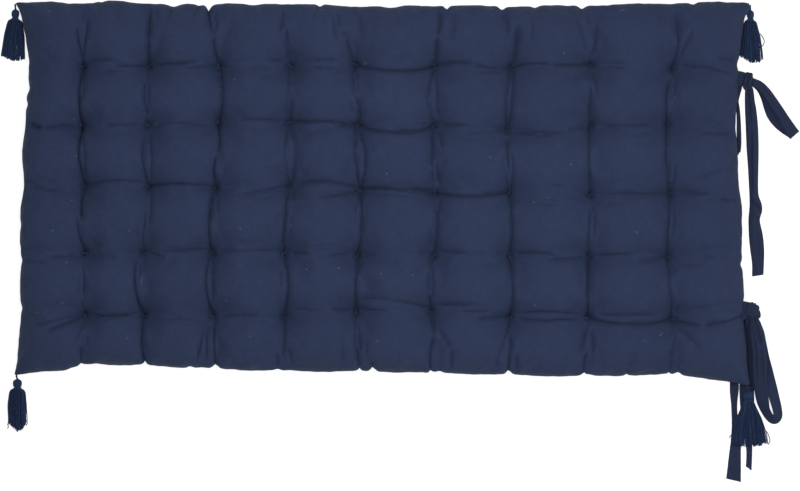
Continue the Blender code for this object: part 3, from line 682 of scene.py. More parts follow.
# Nips, where the seam is drawn in, and its gathers. Each row of a side is a nip's place along that side, in
# metres, and its depth and width, in mm. Where the filling pushes the seam out the depth is negative.
NIPS = {
    "back": [
        (-0.524, 1.5, 9), (-0.450, -3.5, 26), (-0.347, 6.0, 12), (-0.288, 3.5, 4), (-0.257, -3.5, 22),
        (-0.212, 2.5, 12), (-0.102, 4.5, 5), (0.018, 4.5, 14), (0.1105, 6.0, 4), (0.203, 5.5, 6),
        (0.258, 4.0, 6), (0.337, 5.5, 6), (0.524, 4.0, 6),
    ],
    "front": [
        (-0.533, -4.0, 18), (-0.475, 2.0, 20), (-0.320, 2.5, 5), (-0.278, 2.5, 6), (-0.172, 2.5, 6),
        (-0.012, 5.5, 5), (0.080, -3.0, 8), (0.098, 2.0, 5), (0.216, 3.0, 5), (0.350, 1.5, 6),
        (0.498, 4.5, 6),
    ],
    "left": [
        (0.169, 3.8, 9), (0.142, 2.4, 6), (0.068, -2.5, 22), (0.010, 1.5, 16), (-0.032, -2.0, 14),
        (-0.085, -2.5, 14), (-0.119, 2.0, 6), (-0.200, 2.5, 8),
    ],
    "right": [
        (0.301, -4.5, 8), (0.210, 3.0, 10), (0.118, 1.6, 34), (0.030, 2.5, 24), (-0.032, -3.0, 16),
        (-0.126, 2.5, 6),
    ],
}
SIDE_SWELL = 0.0035  # how far the filling pushes the seam out between the nips
PUCKER_DEPTH = 0.0011  # the short ripples of cloth that the drawn thread gathers beside the seam
PUCKER_REACH = 0.016
PUCKERS_PER_METRE = 75
PUCKERS_ALONG = 6  # how often a ripple changes on its way in from the seam
SEAM_TUCK = 0.0015  # the seam itself lies in a groove
SEAM_TUCK_REACH = 0.0012
SLOPE_STEP = 0.35  # cells to either side from which the cloth's slope is read
PRESSED_DOWN = 1.5  # how far a crease is pressed straight down rather than square to the cloth


def pressed_depth(place):
    """How deep creases and tufts press the cloth at each place. Where creases meet, the deepest counts."""
    cubes = np.zeros(len(place))
    for crease, line, depths in creases:
        width = crease.width / 1000
        close, _, away, depth = near_crease(place[:, :2], line, depths, width * DIP_WIDTHS * 2)
        sharp = SHARP_SHARE * np.exp(-away / (width * SHARP_WIDTHS))
        dip = (1 - SHARP_SHARE) * np.exp(-((away / (width * DIP_WIDTHS)) ** 2))
        cubes[close] += (CREASE_DEPTH * crease.depth / 1000 * depth * (sharp + dip)) ** 3
    away, _ = tuft_distance(place[:, :2])
    pinch = PINCH_DEPTH * np.exp(-away / PINCH_RADIUS)
    hollow = HOLLOW_DEPTH * np.exp(-((away / HOLLOW_RADIUS) ** 2))
    return np.cbrt(cubes) + (pinch + hollow)


def finished_places(column, row):
    """Places of the upper panel at arrays of cell counts, creased and puckered."""
    last_column, last_row = filled_panel.shape[1] - 1, filled_panel.shape[0] - 1
    column, row = crowd_to_creases(column, row)
    place = read_panel(column, row)
    left, right = (np.clip(column + step, 0, last_column) for step in (-SLOPE_STEP, SLOPE_STEP))
    below, above = (np.clip(row + step, 0, last_row) for step in (-SLOPE_STEP, SLOPE_STEP))
    across = read_panel(right, row) - read_panel(left, row)
    along = read_panel(column, above) - read_panel(column, below)
    out = np.cross(across, along)
    out /= np.maximum(np.linalg.norm(out, axis=1, keepdims=True), 1e-9)
    deep = pressed_depth(place)
    inside = {
        "left": place[:, 0] - read_panel(np.zeros_like(column), row)[:, 0],
        "right": read_panel(np.full_like(column, last_column), row)[:, 0] - place[:, 0],
        "front": place[:, 1] - read_panel(column, np.zeros_like(row))[:, 1],
        "back": read_panel(column, np.full_like(row, last_row))[:, 1] - place[:, 1],
    }
    to_side = np.minimum(inside["front"], inside["back"])
    to_end = np.minimum(inside["left"], inside["right"])
    to_edge = np.maximum(np.minimum(to_side, to_end), 0)
    within = np.clip(to_edge / EDGE_REACH, 0, 1)
    deep -= SIDE_SWELL * (1 - within) ** 2
    for side, nips in NIPS.items():
        along_side = place[:, 0] if side in ("front", "back") else place[:, 1]
        near_side = np.exp(-np.maximum(inside[side], 0) / EDGE_REACH)
        for at, depth, width in nips:
            at_nip = np.exp(-(((along_side - at) * 1000 / width) ** 2))
            deep += depth / 1000 * at_nip * near_side
    ripple = np.array([
        noise.noise(Vector((x * PUCKERS_PER_METRE, y * PUCKERS_ALONG, 3))) if side < end
        else noise.noise(Vector((x * PUCKERS_ALONG, y * PUCKERS_PER_METRE, 7)))
        for (x, y), side, end in zip(place[:, :2], to_side, to_end)
    ])
    deep += PUCKER_DEPTH * (0.3 + ripple) * np.exp(-to_edge / PUCKER_REACH)
    deep += SEAM_TUCK * np.exp(-to_edge / SEAM_TUCK_REACH)
    rumple = [noise.fractal(Vector(spot) * RUMPLES_PER_METRE, 1, 2, 2) for spot in place]
    deep += RUMPLE_DEPTH * np.array(rumple) * within
    way = out + within[:, None] * np.array([0, 0, PRESSED_DOWN])
    way /= np.linalg.norm(way, axis=1, keepdims=True)
    return place - way * deep[:, None]


TOP_CELLS_X, TOP_CELLS_Y = 40, 36  # mesh cells across one square of the upper panel
UNDER_SHARE = 4  # the underside's cells are this many times as large


def under_height(u, v):
    """The underside lies flat on the floor, apart from its rounded sides and a pit under each tuft."""
    side = side_profile(u, SQUARES_X) * side_profile(v, SQUARES_Y)
    height = seam_height(u, v) * (1 - side)
    i, j = round(u), round(v)
    if 0 < i < SQUARES_X and 0 < j < SQUARES_Y:
        away = (plan(u, v) - NET[i][j]).length
        height += TUFT_PIT * max(0, 1 - away / TUFT_PIT_RADIUS) ** 2
    return height


def cloth_lengths(table, axis):
    """How far along the cloth each place of the table lies from the middle line across that axis."""
    steps = np.linalg.norm(np.diff(table, axis=axis), axis=2)
    start = np.zeros_like(np.take(steps, [0], axis))
    lengths = np.concatenate([start, np.cumsum(steps, axis=axis)], axis=axis)
    return lengths - np.take(lengths, [lengths.shape[axis] // 2], axis)


def set_uvs(bm, place_of):
    """Gives each corner of each face its place on the cloth."""
    layer = bm.loops.layers.uv.verify()
    for face in bm.faces:
        for loop in face.loops:
            loop[layer].uv = place_of(loop.vert)


def cell_counts(bm):
    """Where each point of a unit grid lies on the filled cloth, in its cells across and along."""
    grid = (np.array([vert.co for vert in bm.verts]) + 1) / 2
    return grid[:, 0] * SQUARES_X * FILL_CELLS_X, grid[:, 1] * SQUARES_Y * FILL_CELLS_Y


def add_upper_panel(bm):
    columns, rows = SQUARES_X * TOP_CELLS_X, SQUARES_Y * TOP_CELLS_Y
    bmesh.ops.create_grid(bm, x_segments=columns, y_segments=rows, size=1)
    bm.verts.index_update()
    spots = [(round((v.co.y + 1) / 2 * rows), round((v.co.x + 1) / 2 * columns)) for v in bm.verts]
    table = np.zeros((rows + 1, columns + 1, 3))
    for vert, spot, place in zip(bm.verts, spots, finished_places(*cell_counts(bm))):
        vert.co = place
        table[spot] = vert.co
    across, along = cloth_lengths(table, 1), cloth_lengths(table, 0)
    set_uvs(bm, lambda vert: (across[spots[vert.index]], along[spots[vert.index]]))


def add_under_panel(bm):
    columns, rows = SQUARES_X * TOP_CELLS_X // UNDER_SHARE, SQUARES_Y * TOP_CELLS_Y // UNDER_SHARE
    bmesh.ops.create_grid(bm, x_segments=columns, y_segments=rows, size=1)
    edge = [e for e in bm.edges if e.is_boundary]
    bmesh.ops.subdivide_edges(bm, edges=edge, cuts=UNDER_SHARE - 1)
    for vert, place in zip(bm.verts, finished_places(*cell_counts(bm))):
        if vert.is_boundary:
            vert.co = place
            continue
        u, v = bunched((vert.co.x + 1) / 2 * SQUARES_X), bunched((vert.co.y + 1) / 2 * SQUARES_Y)
        vert.co = (*plan(u, v), under_height(u, v))
    set_uvs(bm, lambda vert: vert.co.xy)
    bmesh.ops.reverse_faces(bm, faces=bm.faces)


def make_mattress():
    """Makes both panels and sews them together along the seam."""
    cover, under = bmesh.new(), bmesh.new()
    cover.loops.layers.uv.new("cloth")
    under.loops.layers.uv.new("cloth")
    add_upper_panel(cover)
    add_under_panel(under)
    under_mesh = bpy.data.meshes.new("under_panel")
    under.to_mesh(under_mesh)
    under.free()
    cover.from_mesh(under_mesh)
    bpy.data.meshes.remove(under_mesh)
    bmesh.ops.remove_doubles(cover, verts=[v for v in cover.verts if v.is_boundary], dist=2e-5)
    mesh = bpy.data.meshes.new("mattress_cover")
    cover.to_mesh(mesh)
    cover.free()
    mesh.shade_smooth()
    return add_object("mattress_cover", mesh)


mattress_cover = make_mattress()

# Cotton: a plain weave of fine threads with slubs, a slight crumple, a soft bloom, and stray lint. The crumple
# and the weave also carry painted shade.
THREADS_PER_METRE = 2100
NAVY = (0.0183, 0.0281, 0.0637)
# How far slubs and fading each lighten the cloth, how far the crumple and the weave are painted lighter where
# their bumps stand up (painted shade), and how light it is without them.
SLUB_SHADE, FADED_SHADE, CRUMPLE_PAINTED_SHADE, WEAVE_PAINTED_SHADE, PLAIN_SHADE = 0.37, 0.22, 0.28, 0.20, 0.30
LINT_COLOUR = (0.062, 0.080, 0.118)
LINT_CELLS_PER_METRE = 15
LINT_REACH = 0.0026
LINT_RARITY = 0.68  # share of the cells that hold no lint


def add_node(tree, kind, sockets=None, **settings):
    """Adds a shader node of a kind, with its settings and the values of its own sockets."""
    node = tree.nodes.new("ShaderNode" + kind)
    for name, value in settings.items():
        setattr(node, name, value)
    set_sockets(node, sockets or {})
    return node


def math_node(tree, operation, first, second=None):
    """Adds a Math node and returns what comes out. first is a socket, second a socket or a number."""
    node = add_node(tree, "Math", operation=operation)
    tree.links.new(first, node.inputs[0])
    if isinstance(second, bpy.types.NodeSocket):
        tree.links.new(second, node.inputs[1])
    elif second is not None:
        node.inputs[1].default_value = second
    return node.outputs[0]


def noise_node(tree, source, scale, detail, stretch=(1, 1, 1)):
    """Adds a noise on a stretched copy of the source's places."""
    stretched = add_node(tree, "Mapping", {"Scale": stretch})
    node = add_node(tree, "TexNoise", {"Scale": scale, "Detail": detail})
    tree.links.new(source, stretched.inputs["Vector"])
    tree.links.new(stretched.outputs["Vector"], node.inputs["Vector"])
    return node.outputs["Fac"]


def bump_node(tree, height, strength, distance, under=None):
    """Adds a bump, on top of another where under is given."""
    node = add_node(tree, "Bump", {"Strength": strength, "Distance": distance})
    tree.links.new(height, node.inputs["Height"])
    if under is not None:
        tree.links.new(under, node.inputs["Normal"])
    return node.outputs["Normal"]


def new_finish(name, roughness, specular, sheen, sheen_roughness):
    """A new material, and its node tree and shader."""
    made = bpy.data.materials.new(name)
    made.use_nodes = True
    shader = made.node_tree.nodes["Principled BSDF"]
    set_sockets(shader, {
        "Roughness": roughness,
        "Specular IOR Level": specular,
        "Sheen Weight": sheen,
        "Sheen Roughness": sheen_roughness,
    })
    return made, made.node_tree, shader


def tinted(tree, colour, shade):
    """The colour multiplied by a shade."""
    node = add_node(tree, "Mix", data_type="RGBA", blend_type="MULTIPLY")
    set_sockets(node, {"Factor": 1, "A": (*colour, 1)})
    tree.links.new(shade, node.inputs["B"])
    return node.outputs["Result"]


def woven_cotton(name, colour, lint_cells):
    """Plain-woven cotton. Its threads follow the cloth's own UV map, which is in metres. lint_cells is how
    many cells of a metre may each hold a speck of lint, or 0."""
    made, tree, shader = new_finish(name, 0.88, 0.12, 0.02, 0.4)
    cloth = add_node(tree, "UVMap", uv_map="cloth").outputs["UV"]
    space = add_node(tree, "TexCoord").outputs["Object"]

    # The weave: warp and weft pass over each other by turns.
    split = add_node(tree, "SeparateXYZ")
    tree.links.new(cloth, split.inputs["Vector"])
    turn = math.pi * THREADS_PER_METRE
    warp = math_node(tree, "SINE", math_node(tree, "MULTIPLY", split.outputs["X"], turn))
    weft = math_node(tree, "SINE", math_node(tree, "MULTIPLY", split.outputs["Y"], turn))
    weave = math_node(tree, "ABSOLUTE", math_node(tree, "MULTIPLY", warp, weft))
    # Slubs: some threads are thicker and a little paler for a few centimetres.
    warp_slubs = noise_node(tree, cloth, 1, 2, (900, 45, 1))
    weft_slubs = noise_node(tree, cloth, 1, 2, (45, 900, 1))
    slubs = math_node(tree, "ADD", warp_slubs, weft_slubs)
    crumple = noise_node(tree, space, 120, 4)
    faded = noise_node(tree, space, 9, 3)

    shade = math_node(tree, "MULTIPLY", slubs, SLUB_SHADE)
    # The crumple and the weave are painted lighter where their bumps stand up: painted shade laid over their
    # bumps.
    for source, share in ((faded, FADED_SHADE), (crumple, CRUMPLE_PAINTED_SHADE), (weave, WEAVE_PAINTED_SHADE)):
        shade = math_node(tree, "ADD", shade, math_node(tree, "MULTIPLY", source, share))
    shade = math_node(tree, "ADD", shade, PLAIN_SHADE)
    tint = tinted(tree, colour, shade)
    if lint_cells:
        specks = add_node(tree, "TexVoronoi", voronoi_dimensions="2D")
        specks.inputs["Scale"].default_value = lint_cells
        ragged = add_node(tree, "TexNoise", {"Scale": 700})
        tree.links.new(cloth, specks.inputs["Vector"])
        tree.links.new(cloth, ragged.inputs["Vector"])
        reach = math_node(tree, "MULTIPLY", ragged.outputs["Fac"], LINT_REACH * lint_cells)
        rare = math_node(tree, "GREATER_THAN", specks.outputs["Color"], LINT_RARITY)
        near = math_node(tree, "LESS_THAN", specks.outputs["Distance"], reach)
        pale = add_node(tree, "Mix", data_type="RGBA")
        pale.inputs["B"].default_value = (*LINT_COLOUR, 1)
        tree.links.new(math_node(tree, "MULTIPLY", near, rare), pale.inputs["Factor"])
        tree.links.new(tint, pale.inputs["A"])
        tint = pale.outputs["Result"]
    tree.links.new(tint, shader.inputs["Base Color"])

    crumple_bump = bump_node(tree, crumple, 0.5, 0.0012)
    threads = math_node(tree, "ADD", weave, math_node(tree, "MULTIPLY", slubs, 0.8))
    tree.links.new(bump_node(tree, threads, 0.45, 0.0002, crumple_bump), shader.inputs["Normal"])
    return made


mattress_cover.data.materials.append(woven_cotton("navy_cotton", NAVY, LINT_CELLS_PER_METRE))
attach(mattress_cover, "root")
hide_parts("mattress")

# Tuft threads. At each tuft a doubled cotton thread goes through the mattress, crosses the cloth in a short
# stitch on either side, and is knotted off.
THREAD_RADIUS = 0.0008
THREAD_SIDES = 6
STITCH_REACH = 0.0043
STITCH_RISE = 0.0026
STITCH_SINK = 0.0010
STITCH_STEPS = 8


def add_tube(bm, sides, steps, uv_of, place_of):
    """Adds a closed tube. uv_of and place_of take how many sides round it and steps along it a point lies."""
    made = bmesh.ops.create_grid(bm, x_segments=sides, y_segments=steps, size=1)["verts"]
    cells = {vert: (round((vert.co.x + 1) / 2 * sides), round((vert.co.y + 1) / 2 * steps)) for vert in made}
    layer = bm.loops.layers.uv.verify()
    for face in {face for vert in made for face in vert.link_faces}:
        for loop in face.loops:
            loop[layer].uv = uv_of(*cells[loop.vert])
    for vert, (side, step) in cells.items():
        vert.co = place_of(side, step)
    seam = [vert for vert, (side, step) in cells.items() if side in (0, sides)]
    bmesh.ops.remove_doubles(bm, verts=seam, dist=1e-7)
    ends = [edge for vert in made if vert.is_valid for edge in vert.link_edges if edge.is_boundary]
    bmesh.ops.holes_fill(bm, edges=list(dict.fromkeys(ends)), sides=0)


def add_strand(bm, path, radius, sides=THREAD_SIDES, number=0):
    """Adds one closed strand along the path. Its UV map counts the way round it, from the strand's own
    number, and the metres along it."""
    steps = len(path) - 1
    thick = radius if isinstance(radius, list) else [radius] * (steps + 1)
    rights, ups, lengths = [], [], [0.0]
    right = None
    for k in range(steps + 1):
        along = (path[min(k + 1, steps)] - path[max(k - 1, 0)]).normalized()
        if right is None:
            right = along.cross(Vector((0, 0, 1)) if abs(along.z) < 0.9 else Vector((1, 0, 0)))
        right = (right - along * right.dot(along)).normalized()
        rights.append(right)
        ups.append(right.cross(along))
        if k:
            lengths.append(lengths[-1] + (path[k] - path[k - 1]).length)

    def place_of(side, step):
        turn = 2 * math.pi * side / sides
        return path[step] + (rights[step] * math.cos(turn) + ups[step] * math.sin(turn)) * thick[step]

    add_tube(bm, sides, steps, lambda side, step: (number + side / sides, lengths[step]), place_of)


def finish_piece(name, bm, finish):
    """Turns the bmesh into one smooth piece with its faces pointing outwards."""
    bmesh.ops.recalc_face_normals(bm, faces=bm.faces)
    mesh = bpy.data.meshes.new(name)
    bm.to_mesh(mesh)
    bm.free()
    mesh.materials.append(finish)
    mesh.shade_smooth()
    return add_object(name, mesh)


surface = BVHTree.FromObject(mattress_cover, bpy.context.evaluated_depsgraph_get())


def cloth_from(x, y, side):
    """The height of the mattress at (x, y), seen from above (side 1) or from below (side -1)."""
    hit = surface.ray_cast(Vector((x, y, side)), Vector((0, 0, -side)))[0]
    return hit.z if hit else 0.0


YARN_NAVY = (0.0095, 0.0205, 0.0560)


def twisted_yarn(name, colour, twists_per_metre):
    """Two-ply yarn. The twist runs round each strand by its UV map, and no two strands are quite alike."""
    made, tree, shader = new_finish(name, 0.85, 0.15, 0.05, 0.35)
    strand = add_node(tree, "UVMap", uv_map="cloth").outputs["UV"]
    turned = add_node(tree, "Mapping", {"Scale": (2, twists_per_metre, 1)})
    ply = add_node(tree, "TexWave", {"Scale": 1 / 3.2, "Distortion": 0.4}, bands_direction="DIAGONAL")
    tree.links.new(strand, turned.inputs["Vector"])
    tree.links.new(turned.outputs["Vector"], ply.inputs["Vector"])
    space = add_node(tree, "TexCoord").outputs["Object"]
    fibre = add_node(tree, "TexNoise", {"Scale": 420, "Detail": 3})
    tree.links.new(space, fibre.inputs["Vector"])
    fibre_range = {"From Min": 0.25, "From Max": 0.75, "To Min": 0.65, "To Max": 1.4}
    fibre_tone = add_node(tree, "MapRange", fibre_range)
    tree.links.new(fibre.outputs["Fac"], fibre_tone.inputs["Value"])
    split = add_node(tree, "SeparateXYZ")
    tree.links.new(strand, split.inputs["Vector"])
    own_tone = add_node(tree, "TexWhiteNoise", noise_dimensions="1D")
    tree.links.new(math_node(tree, "FLOOR", split.outputs["X"]), own_tone.inputs["W"])
    strand_tone = add_node(tree, "MapRange", {"To Min": 0.65, "To Max": 1.45})
    tree.links.new(own_tone.outputs["Value"], strand_tone.inputs["Value"])
    tone = math_node(tree, "MULTIPLY", fibre_tone.outputs["Result"], strand_tone.outputs["Result"])
    tree.links.new(tinted(tree, colour, tone), shader.inputs["Base Color"])
    tree.links.new(bump_node(tree, ply.outputs["Fac"], 0.8, 0.0003), shader.inputs["Normal"])
    return made


navy_yarn = twisted_yarn("navy_yarn", YARN_NAVY, 260)
THREAD_NAVY = (0.0300, 0.0470, 0.0950)
navy_thread = twisted_yarn("navy_thread", THREAD_NAVY, 700)

bm = bmesh.new()
bm.loops.layers.uv.new("cloth")
for i, j in TUFTS:
    for side in (1, -1):
        for turn in (rng.uniform(0, 3.1), rng.uniform(0, 3.1)):
            way = Vector((math.cos(turn), math.sin(turn), 0)) * STITCH_REACH * rng.uniform(0.7, 1.2)
            path = []
            for k in range(STITCH_STEPS + 1):
                share = 2 * k / STITCH_STEPS - 1
                x, y = NET[i][j] + way.xy * share
                rise = STITCH_RISE - (STITCH_RISE + STITCH_SINK) * share**4
                path.append(Vector((x, y, cloth_from(x, y, side) + rise * side)))
            add_strand(bm, path, THREAD_RADIUS)
tuft_threads = finish_piece("tuft_threads", bm, navy_thread)
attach(tuft_threads, "root")

# The tassels. Each hangs from a corner by a twisted cord: a bundle of yarn is folded over the cord's end into
# a round head, bound at the neck with a few turns, and cut off a hand's breadth below.
CORD_PLY_RADIUS = 0.0009
CORD_TWISTS = 3.0
HEAD_LENGTH = 0.0170
NECK_SHARE = 0.8  # width of the neck, as a share of the head's
HEAD_SHAPE = [0.06, 0.80, 0.99, 0.97, 0.82, 0.04]  # radius down the head, as a share of the largest
HEAD_FOLDS = 22  # strands that show round the head
SKIRT_TOP_HEIGHT = 0.0105
SKIRT_END_HEIGHT = 0.0060
NECK_TURNS = 3
NECK_YARN_RADIUS = 0.0006
STRAND_RADIUS = 0.00078
STRAND_STEPS = 20
GOLDEN_ANGLE = 2.39996  # spreads the strands evenly over the bundle
STRAND_WANDER = 0.0014
TUCKED_HEIGHT = 0.004  # how high a loose strand comes out of the bundle
LOCKS = 9  # locks into which the strands gather towards their ends
LOCK_PULL = 0.16
COIL_STEPS = 14  # points round one turn of a binding
CORD_STEPS = 24
CORD_TUCK = 0.002  # how far the cord goes on inside the head
KNOT_TURNS = 3
KNOT_RADIUS = 0.0026
PLY_OFFSET = 0.0008  # each of a cord's two plies winds this far from its middle
Tassel = namedtuple(
    "Tassel",
    "name cord_x cord_y cord_z head_x head_y head_width top_width end_x end_y end_width lift strands seed",
)
TASSELS = [
    Tassel(
        "tassel_back_left",
        -0.6132, 0.3105, 0.0140, -0.6126, 0.3030, 0.0130, 0.028, -0.6170, 0.2180, 0.046, 0.0002, 130, 3,
    ),
    Tassel(
        "tassel_back_right",
        0.6192, 0.3085, 0.0140, 0.6202, 0.3015, 0.0120, 0.024, 0.6195, 0.2150, 0.048, 0.0002, 130, 5,
    ),
    Tassel(
        "tassel_front_left",
        -0.6112, -0.3120, 0.0140, -0.6096, -0.3172, 0.0150, 0.029, -0.6098, -0.4035, 0.038, 0.0002, 130, 8,
    ),
    Tassel(
        "tassel_front_right",
        0.6162, -0.3296, 0.0160, 0.6164, -0.3375, 0.0155, 0.024, 0.6195, -0.4300, 0.066, 0.0027, 165, 11,
    ),
]
# How far down the strands reach from the left side of each bundle to its right, as a share of its length.
TRIMS = {
    "tassel_back_left": (0.93, 0.98, 1.02, 1.01, 0.97),
    "tassel_back_right": (0.88, 0.93, 1.02, 1.02, 0.99),
    "tassel_front_left": (0.85, 0.93, 1.03, 0.97, 0.82),
    "tassel_front_right": (0.96, 1.00, 1.01, 1.00, 0.97),
}
# Strands that have worked loose from the bundle, as places on the floor.
LOOSE_STRANDS = {
    "tassel_back_right": [
        [(0.628, 0.273), (0.6337, 0.2631), (0.6377, 0.2601), (0.6417, 0.2541),
         (0.6437, 0.2479), (0.6417, 0.2419), (0.6377, 0.2389), (0.631, 0.235)],
    ],
    "tassel_front_left": [
        [(-0.618, -0.375), (-0.6230, -0.3880), (-0.6262, -0.3945), (-0.6248, -0.3985),
         (-0.6270, -0.4015)],
        [(-0.602, -0.375), (-0.5955, -0.3870), (-0.5932, -0.3920), (-0.5955, -0.3965)],
    ],
    "tassel_front_right": [
        [(0.602, -0.375), (0.5930, -0.4037), (0.5846, -0.4171)],
        [(0.634, -0.380), (0.6432, -0.4003), (0.6499, -0.4104), (0.6533, -0.4221), (0.6499, -0.4288)],
    ],
}
KNOTTED_CORDS = ["tassel_front_right"]
# Where the front right tassel lies over the ends of the ties, its strands are held up off the floor.
Prop = namedtuple("Prop", "x half_width height")
PROPS = [Prop(0.6175, 0.0060, 0.0034), Prop(0.5952, 0.0100, 0.0034)]
PROPPED_FROM_X, PROPPED_FROM_Y = 0.5, -0.34
PROP_REACH = 0.004
FLOOR_GAP = 0.0002


def propped(x, y):
    """How high the bundle is held up at (x, y) by what it lies on."""
    held = FLOOR_GAP
    if x > PROPPED_FROM_X and y < PROPPED_FROM_Y:
        for prop in PROPS:
            clear = max(0, abs(x - prop.x) - prop.half_width)
            held = max(held, prop.height * math.exp(-((clear / PROP_REACH) ** 2)))
    return held


def coil(first, last, right, up, radius, turns, steps=None, start=0):
    """A path that winds round the line from first to last. start is where it starts, in turns."""
    steps = steps or turns * COIL_STEPS
    path = []
    for k in range(steps + 1):
        turn = 2 * math.pi * (turns * k / steps + start)
        spot = first + (last - first) * k / steps
        path.append(spot + (right * math.cos(turn) + up * math.sin(turn)) * radius)
    return path


UP = Vector((0, 0, 1))
# A tassel's measures: the ways along it and across it, its length, the share of that down to its neck, and
# the height of its head's middle line.
Measures = namedtuple("Measures", "start along across length neck neck_width head_z")


def measure(tassel):
    start, end = Vector((tassel.head_x, tassel.head_y, 0)), Vector((tassel.end_x, tassel.end_y, 0))
    along = (end - start).normalized()
    length = (end - start).length
    head_z = tassel.lift + tassel.head_width / 2
    neck_width = NECK_SHARE * tassel.head_width
    return Measures(
        start, along, Vector((-along.y, along.x, 0)), length, HEAD_LENGTH / length, neck_width, head_z
    )


def add_skirt(bm, tassel, own, rng):
    """Adds the bundle of strands below the neck. They spread towards their ends and gather into locks."""
    skirt = 1 - own.neck
    top, wide, neck_width = tassel.top_width, tassel.end_width, own.neck_width
    shares = [0, *(own.neck + down * skirt for down in (0, 0.04, 0.10, 0.40, 0.75)), 1.0, 1.1]
    widths = [0.5 * neck_width, neck_width, 0.85 * top, top, 0.5 * (top + wide), 0.9 * wide, wide, wide]
    heights = [0.5 * neck_width, neck_width, SKIRT_TOP_HEIGHT, SKIRT_TOP_HEIGHT, SKIRT_TOP_HEIGHT]
    heights += [0.5 * (SKIRT_TOP_HEIGHT + SKIRT_END_HEIGHT), SKIRT_END_HEIGHT, SKIRT_END_HEIGHT]
    radii = [STRAND_RADIUS] * STRAND_STEPS + [STRAND_RADIUS * 0.7]
    locks = [2 * (lock + rng.uniform(0.2, 0.8)) / LOCKS - 1 for lock in range(LOCKS)]
    first = own.neck * 0.8
    for k in range(tassel.strands):
        radius = math.sqrt((k + 0.5) / tassel.strands)
        turn = k * GOLDEN_ANGLE + rng.uniform(-0.3, 0.3)
        side, level = radius * math.cos(turn), radius * math.sin(turn)
        lock = min(locks, key=lambda other: abs(other - side))
        reach = rng.uniform(0.96, 1.02) * np.interp(side, (-1, -0.5, 0, 0.5, 1), TRIMS[tassel.name])
        wander, phase = rng.uniform(-STRAND_WANDER, STRAND_WANDER), rng.uniform(0, 6.28)
        path = []
        for step in range(STRAND_STEPS + 1):
            share = first + (reach - first) * step / STRAND_STEPS
            loose = max(0, (share - own.neck) / skirt)
            at = side + (lock - side) * LOCK_PULL * loose
            width, height = np.interp(share, shares, widths), np.interp(share, shares, heights)
            spot = own.start + own.along * own.length * share
            sway = wander * math.sin(phase + 6 * loose) * loose
            spot += own.across * (at * (width / 2 - STRAND_RADIUS) + sway)
            rests = min(1, max(0, (share - own.neck) / (0.1 * skirt)))
            floor_z = propped(spot.x, spot.y)
            middle_z = own.head_z + (floor_z + height / 2 - own.head_z) * rests
            spot.z = max(floor_z + STRAND_RADIUS, middle_z + level * (height / 2 - STRAND_RADIUS))
            path.append(spot)
        add_strand(bm, path, radii, sides=5, number=k + 1)


def add_loose_strands(bm, tassel):
    for number, places in enumerate(LOOSE_STRANDS.get(tassel.name, [])):
        places = [Vector(place) for place in places]
        path = []
        for step in range(STRAND_STEPS + 1):
            share = step / STRAND_STEPS
            x, y = through(places, share * (len(places) - 1))
            tucked = 1 - min(1, 6 * share)
            path.append(Vector((x, y, propped(x, y) + STRAND_RADIUS + TUCKED_HEIGHT * tucked)))
        add_strand(bm, path, STRAND_RADIUS, sides=5, number=-number - 1)


def add_head(bm, tassel, own):
    """Adds the round head: strands folded over the cord, side by side."""
    head = bmesh.ops.create_uvsphere(bm, u_segments=HEAD_FOLDS * 4, v_segments=18, radius=1)["verts"]
    for vert in head:
        share = (1 - vert.co.z) / 2
        turn = math.atan2(vert.co.y, vert.co.x)
        radius = through(HEAD_SHAPE, share * 5) * tassel.head_width / 2
        radius *= 1 + 0.08 * (abs(math.cos(turn * HEAD_FOLDS / 2)) - 0.6) * min(1, 6 * share)
        spot = own.start + own.along * HEAD_LENGTH * share * 1.02
        vert.co = spot + (own.across * math.cos(turn) + UP * math.sin(turn)) * radius + UP * own.head_z


def add_cord(bm, tassel, own):
    """Adds the binding at the neck, and the two-ply cord up to the corner with its knot, if it has one."""
    middle = own.start + UP * own.head_z
    above_neck, below_neck = (middle + own.along * HEAD_LENGTH * share for share in (0.90, 1.10))
    path = coil(above_neck, below_neck, own.across, UP, own.neck_width / 2 + 0.0004, NECK_TURNS)
    add_strand(bm, path, NECK_YARN_RADIUS, sides=5, number=-8)
    top_end = Vector((tassel.cord_x, tassel.cord_y, tassel.cord_z))
    bottom = middle + own.along * CORD_TUCK
    way = (bottom - top_end).normalized()
    sideways = way.cross(UP).normalized()
    upwards = sideways.cross(way)
    if tassel.name in KNOTTED_CORDS:
        first, last = top_end.lerp(bottom, 0.15), top_end.lerp(bottom, 0.55)
        path = coil(first, last, sideways, upwards, KNOT_RADIUS, KNOT_TURNS)
        add_strand(bm, path, CORD_PLY_RADIUS, sides=6, number=-9)
    for ply in (0, 1):
        path = coil(top_end, bottom, sideways, upwards, PLY_OFFSET, CORD_TWISTS, CORD_STEPS, ply / 2)
        add_strand(bm, path, CORD_PLY_RADIUS, sides=6, number=-10 - ply)


def make_tassel(tassel):
    bm = bmesh.new()
    bm.loops.layers.uv.new("cloth")
    own = measure(tassel)
    add_skirt(bm, tassel, own, random.Random(tassel.seed))
    add_loose_strands(bm, tassel)
    add_head(bm, tassel, own)
    add_cord(bm, tassel, own)
    made = finish_piece(tassel.name + "_yarn", bm, navy_yarn)
    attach(made, "root")
    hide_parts(tassel.name)


for tassel in TASSELS:
    make_tassel(tassel)

# The upper bow. A tie is a strip of the cover's cotton, folded in two and sewn down its length. This pair is
# knotted close to the seam. One long end lies over the knot, one short end beside it, and a loop points out.
TIE_WIDTH = 0.0255
TIE_THICKNESS = 0.0012
TIE_CELLS = 16  # mesh cells across a tie, before they are halved
TIE_CELL_LENGTH = 0.0016
TIE_CRUMPLE = 0.0004
CRUMPLES_ACROSS, CRUMPLES_ALONG = 160, 45  # crumples in a metre
HEM_LENGTH = 0.0035  # the end of a tie is turned in by this much and sewn across
HEM_GROOVE = 0.0004
HEM_GROOVE_WIDTH = 0.0008
SLANT_REACH = 0.020
FINE_STEPS = 20  # points of a tie's fine line from one station to the next
TURN_RADIUS = 0.0014  # where an edge is turned in under the tie

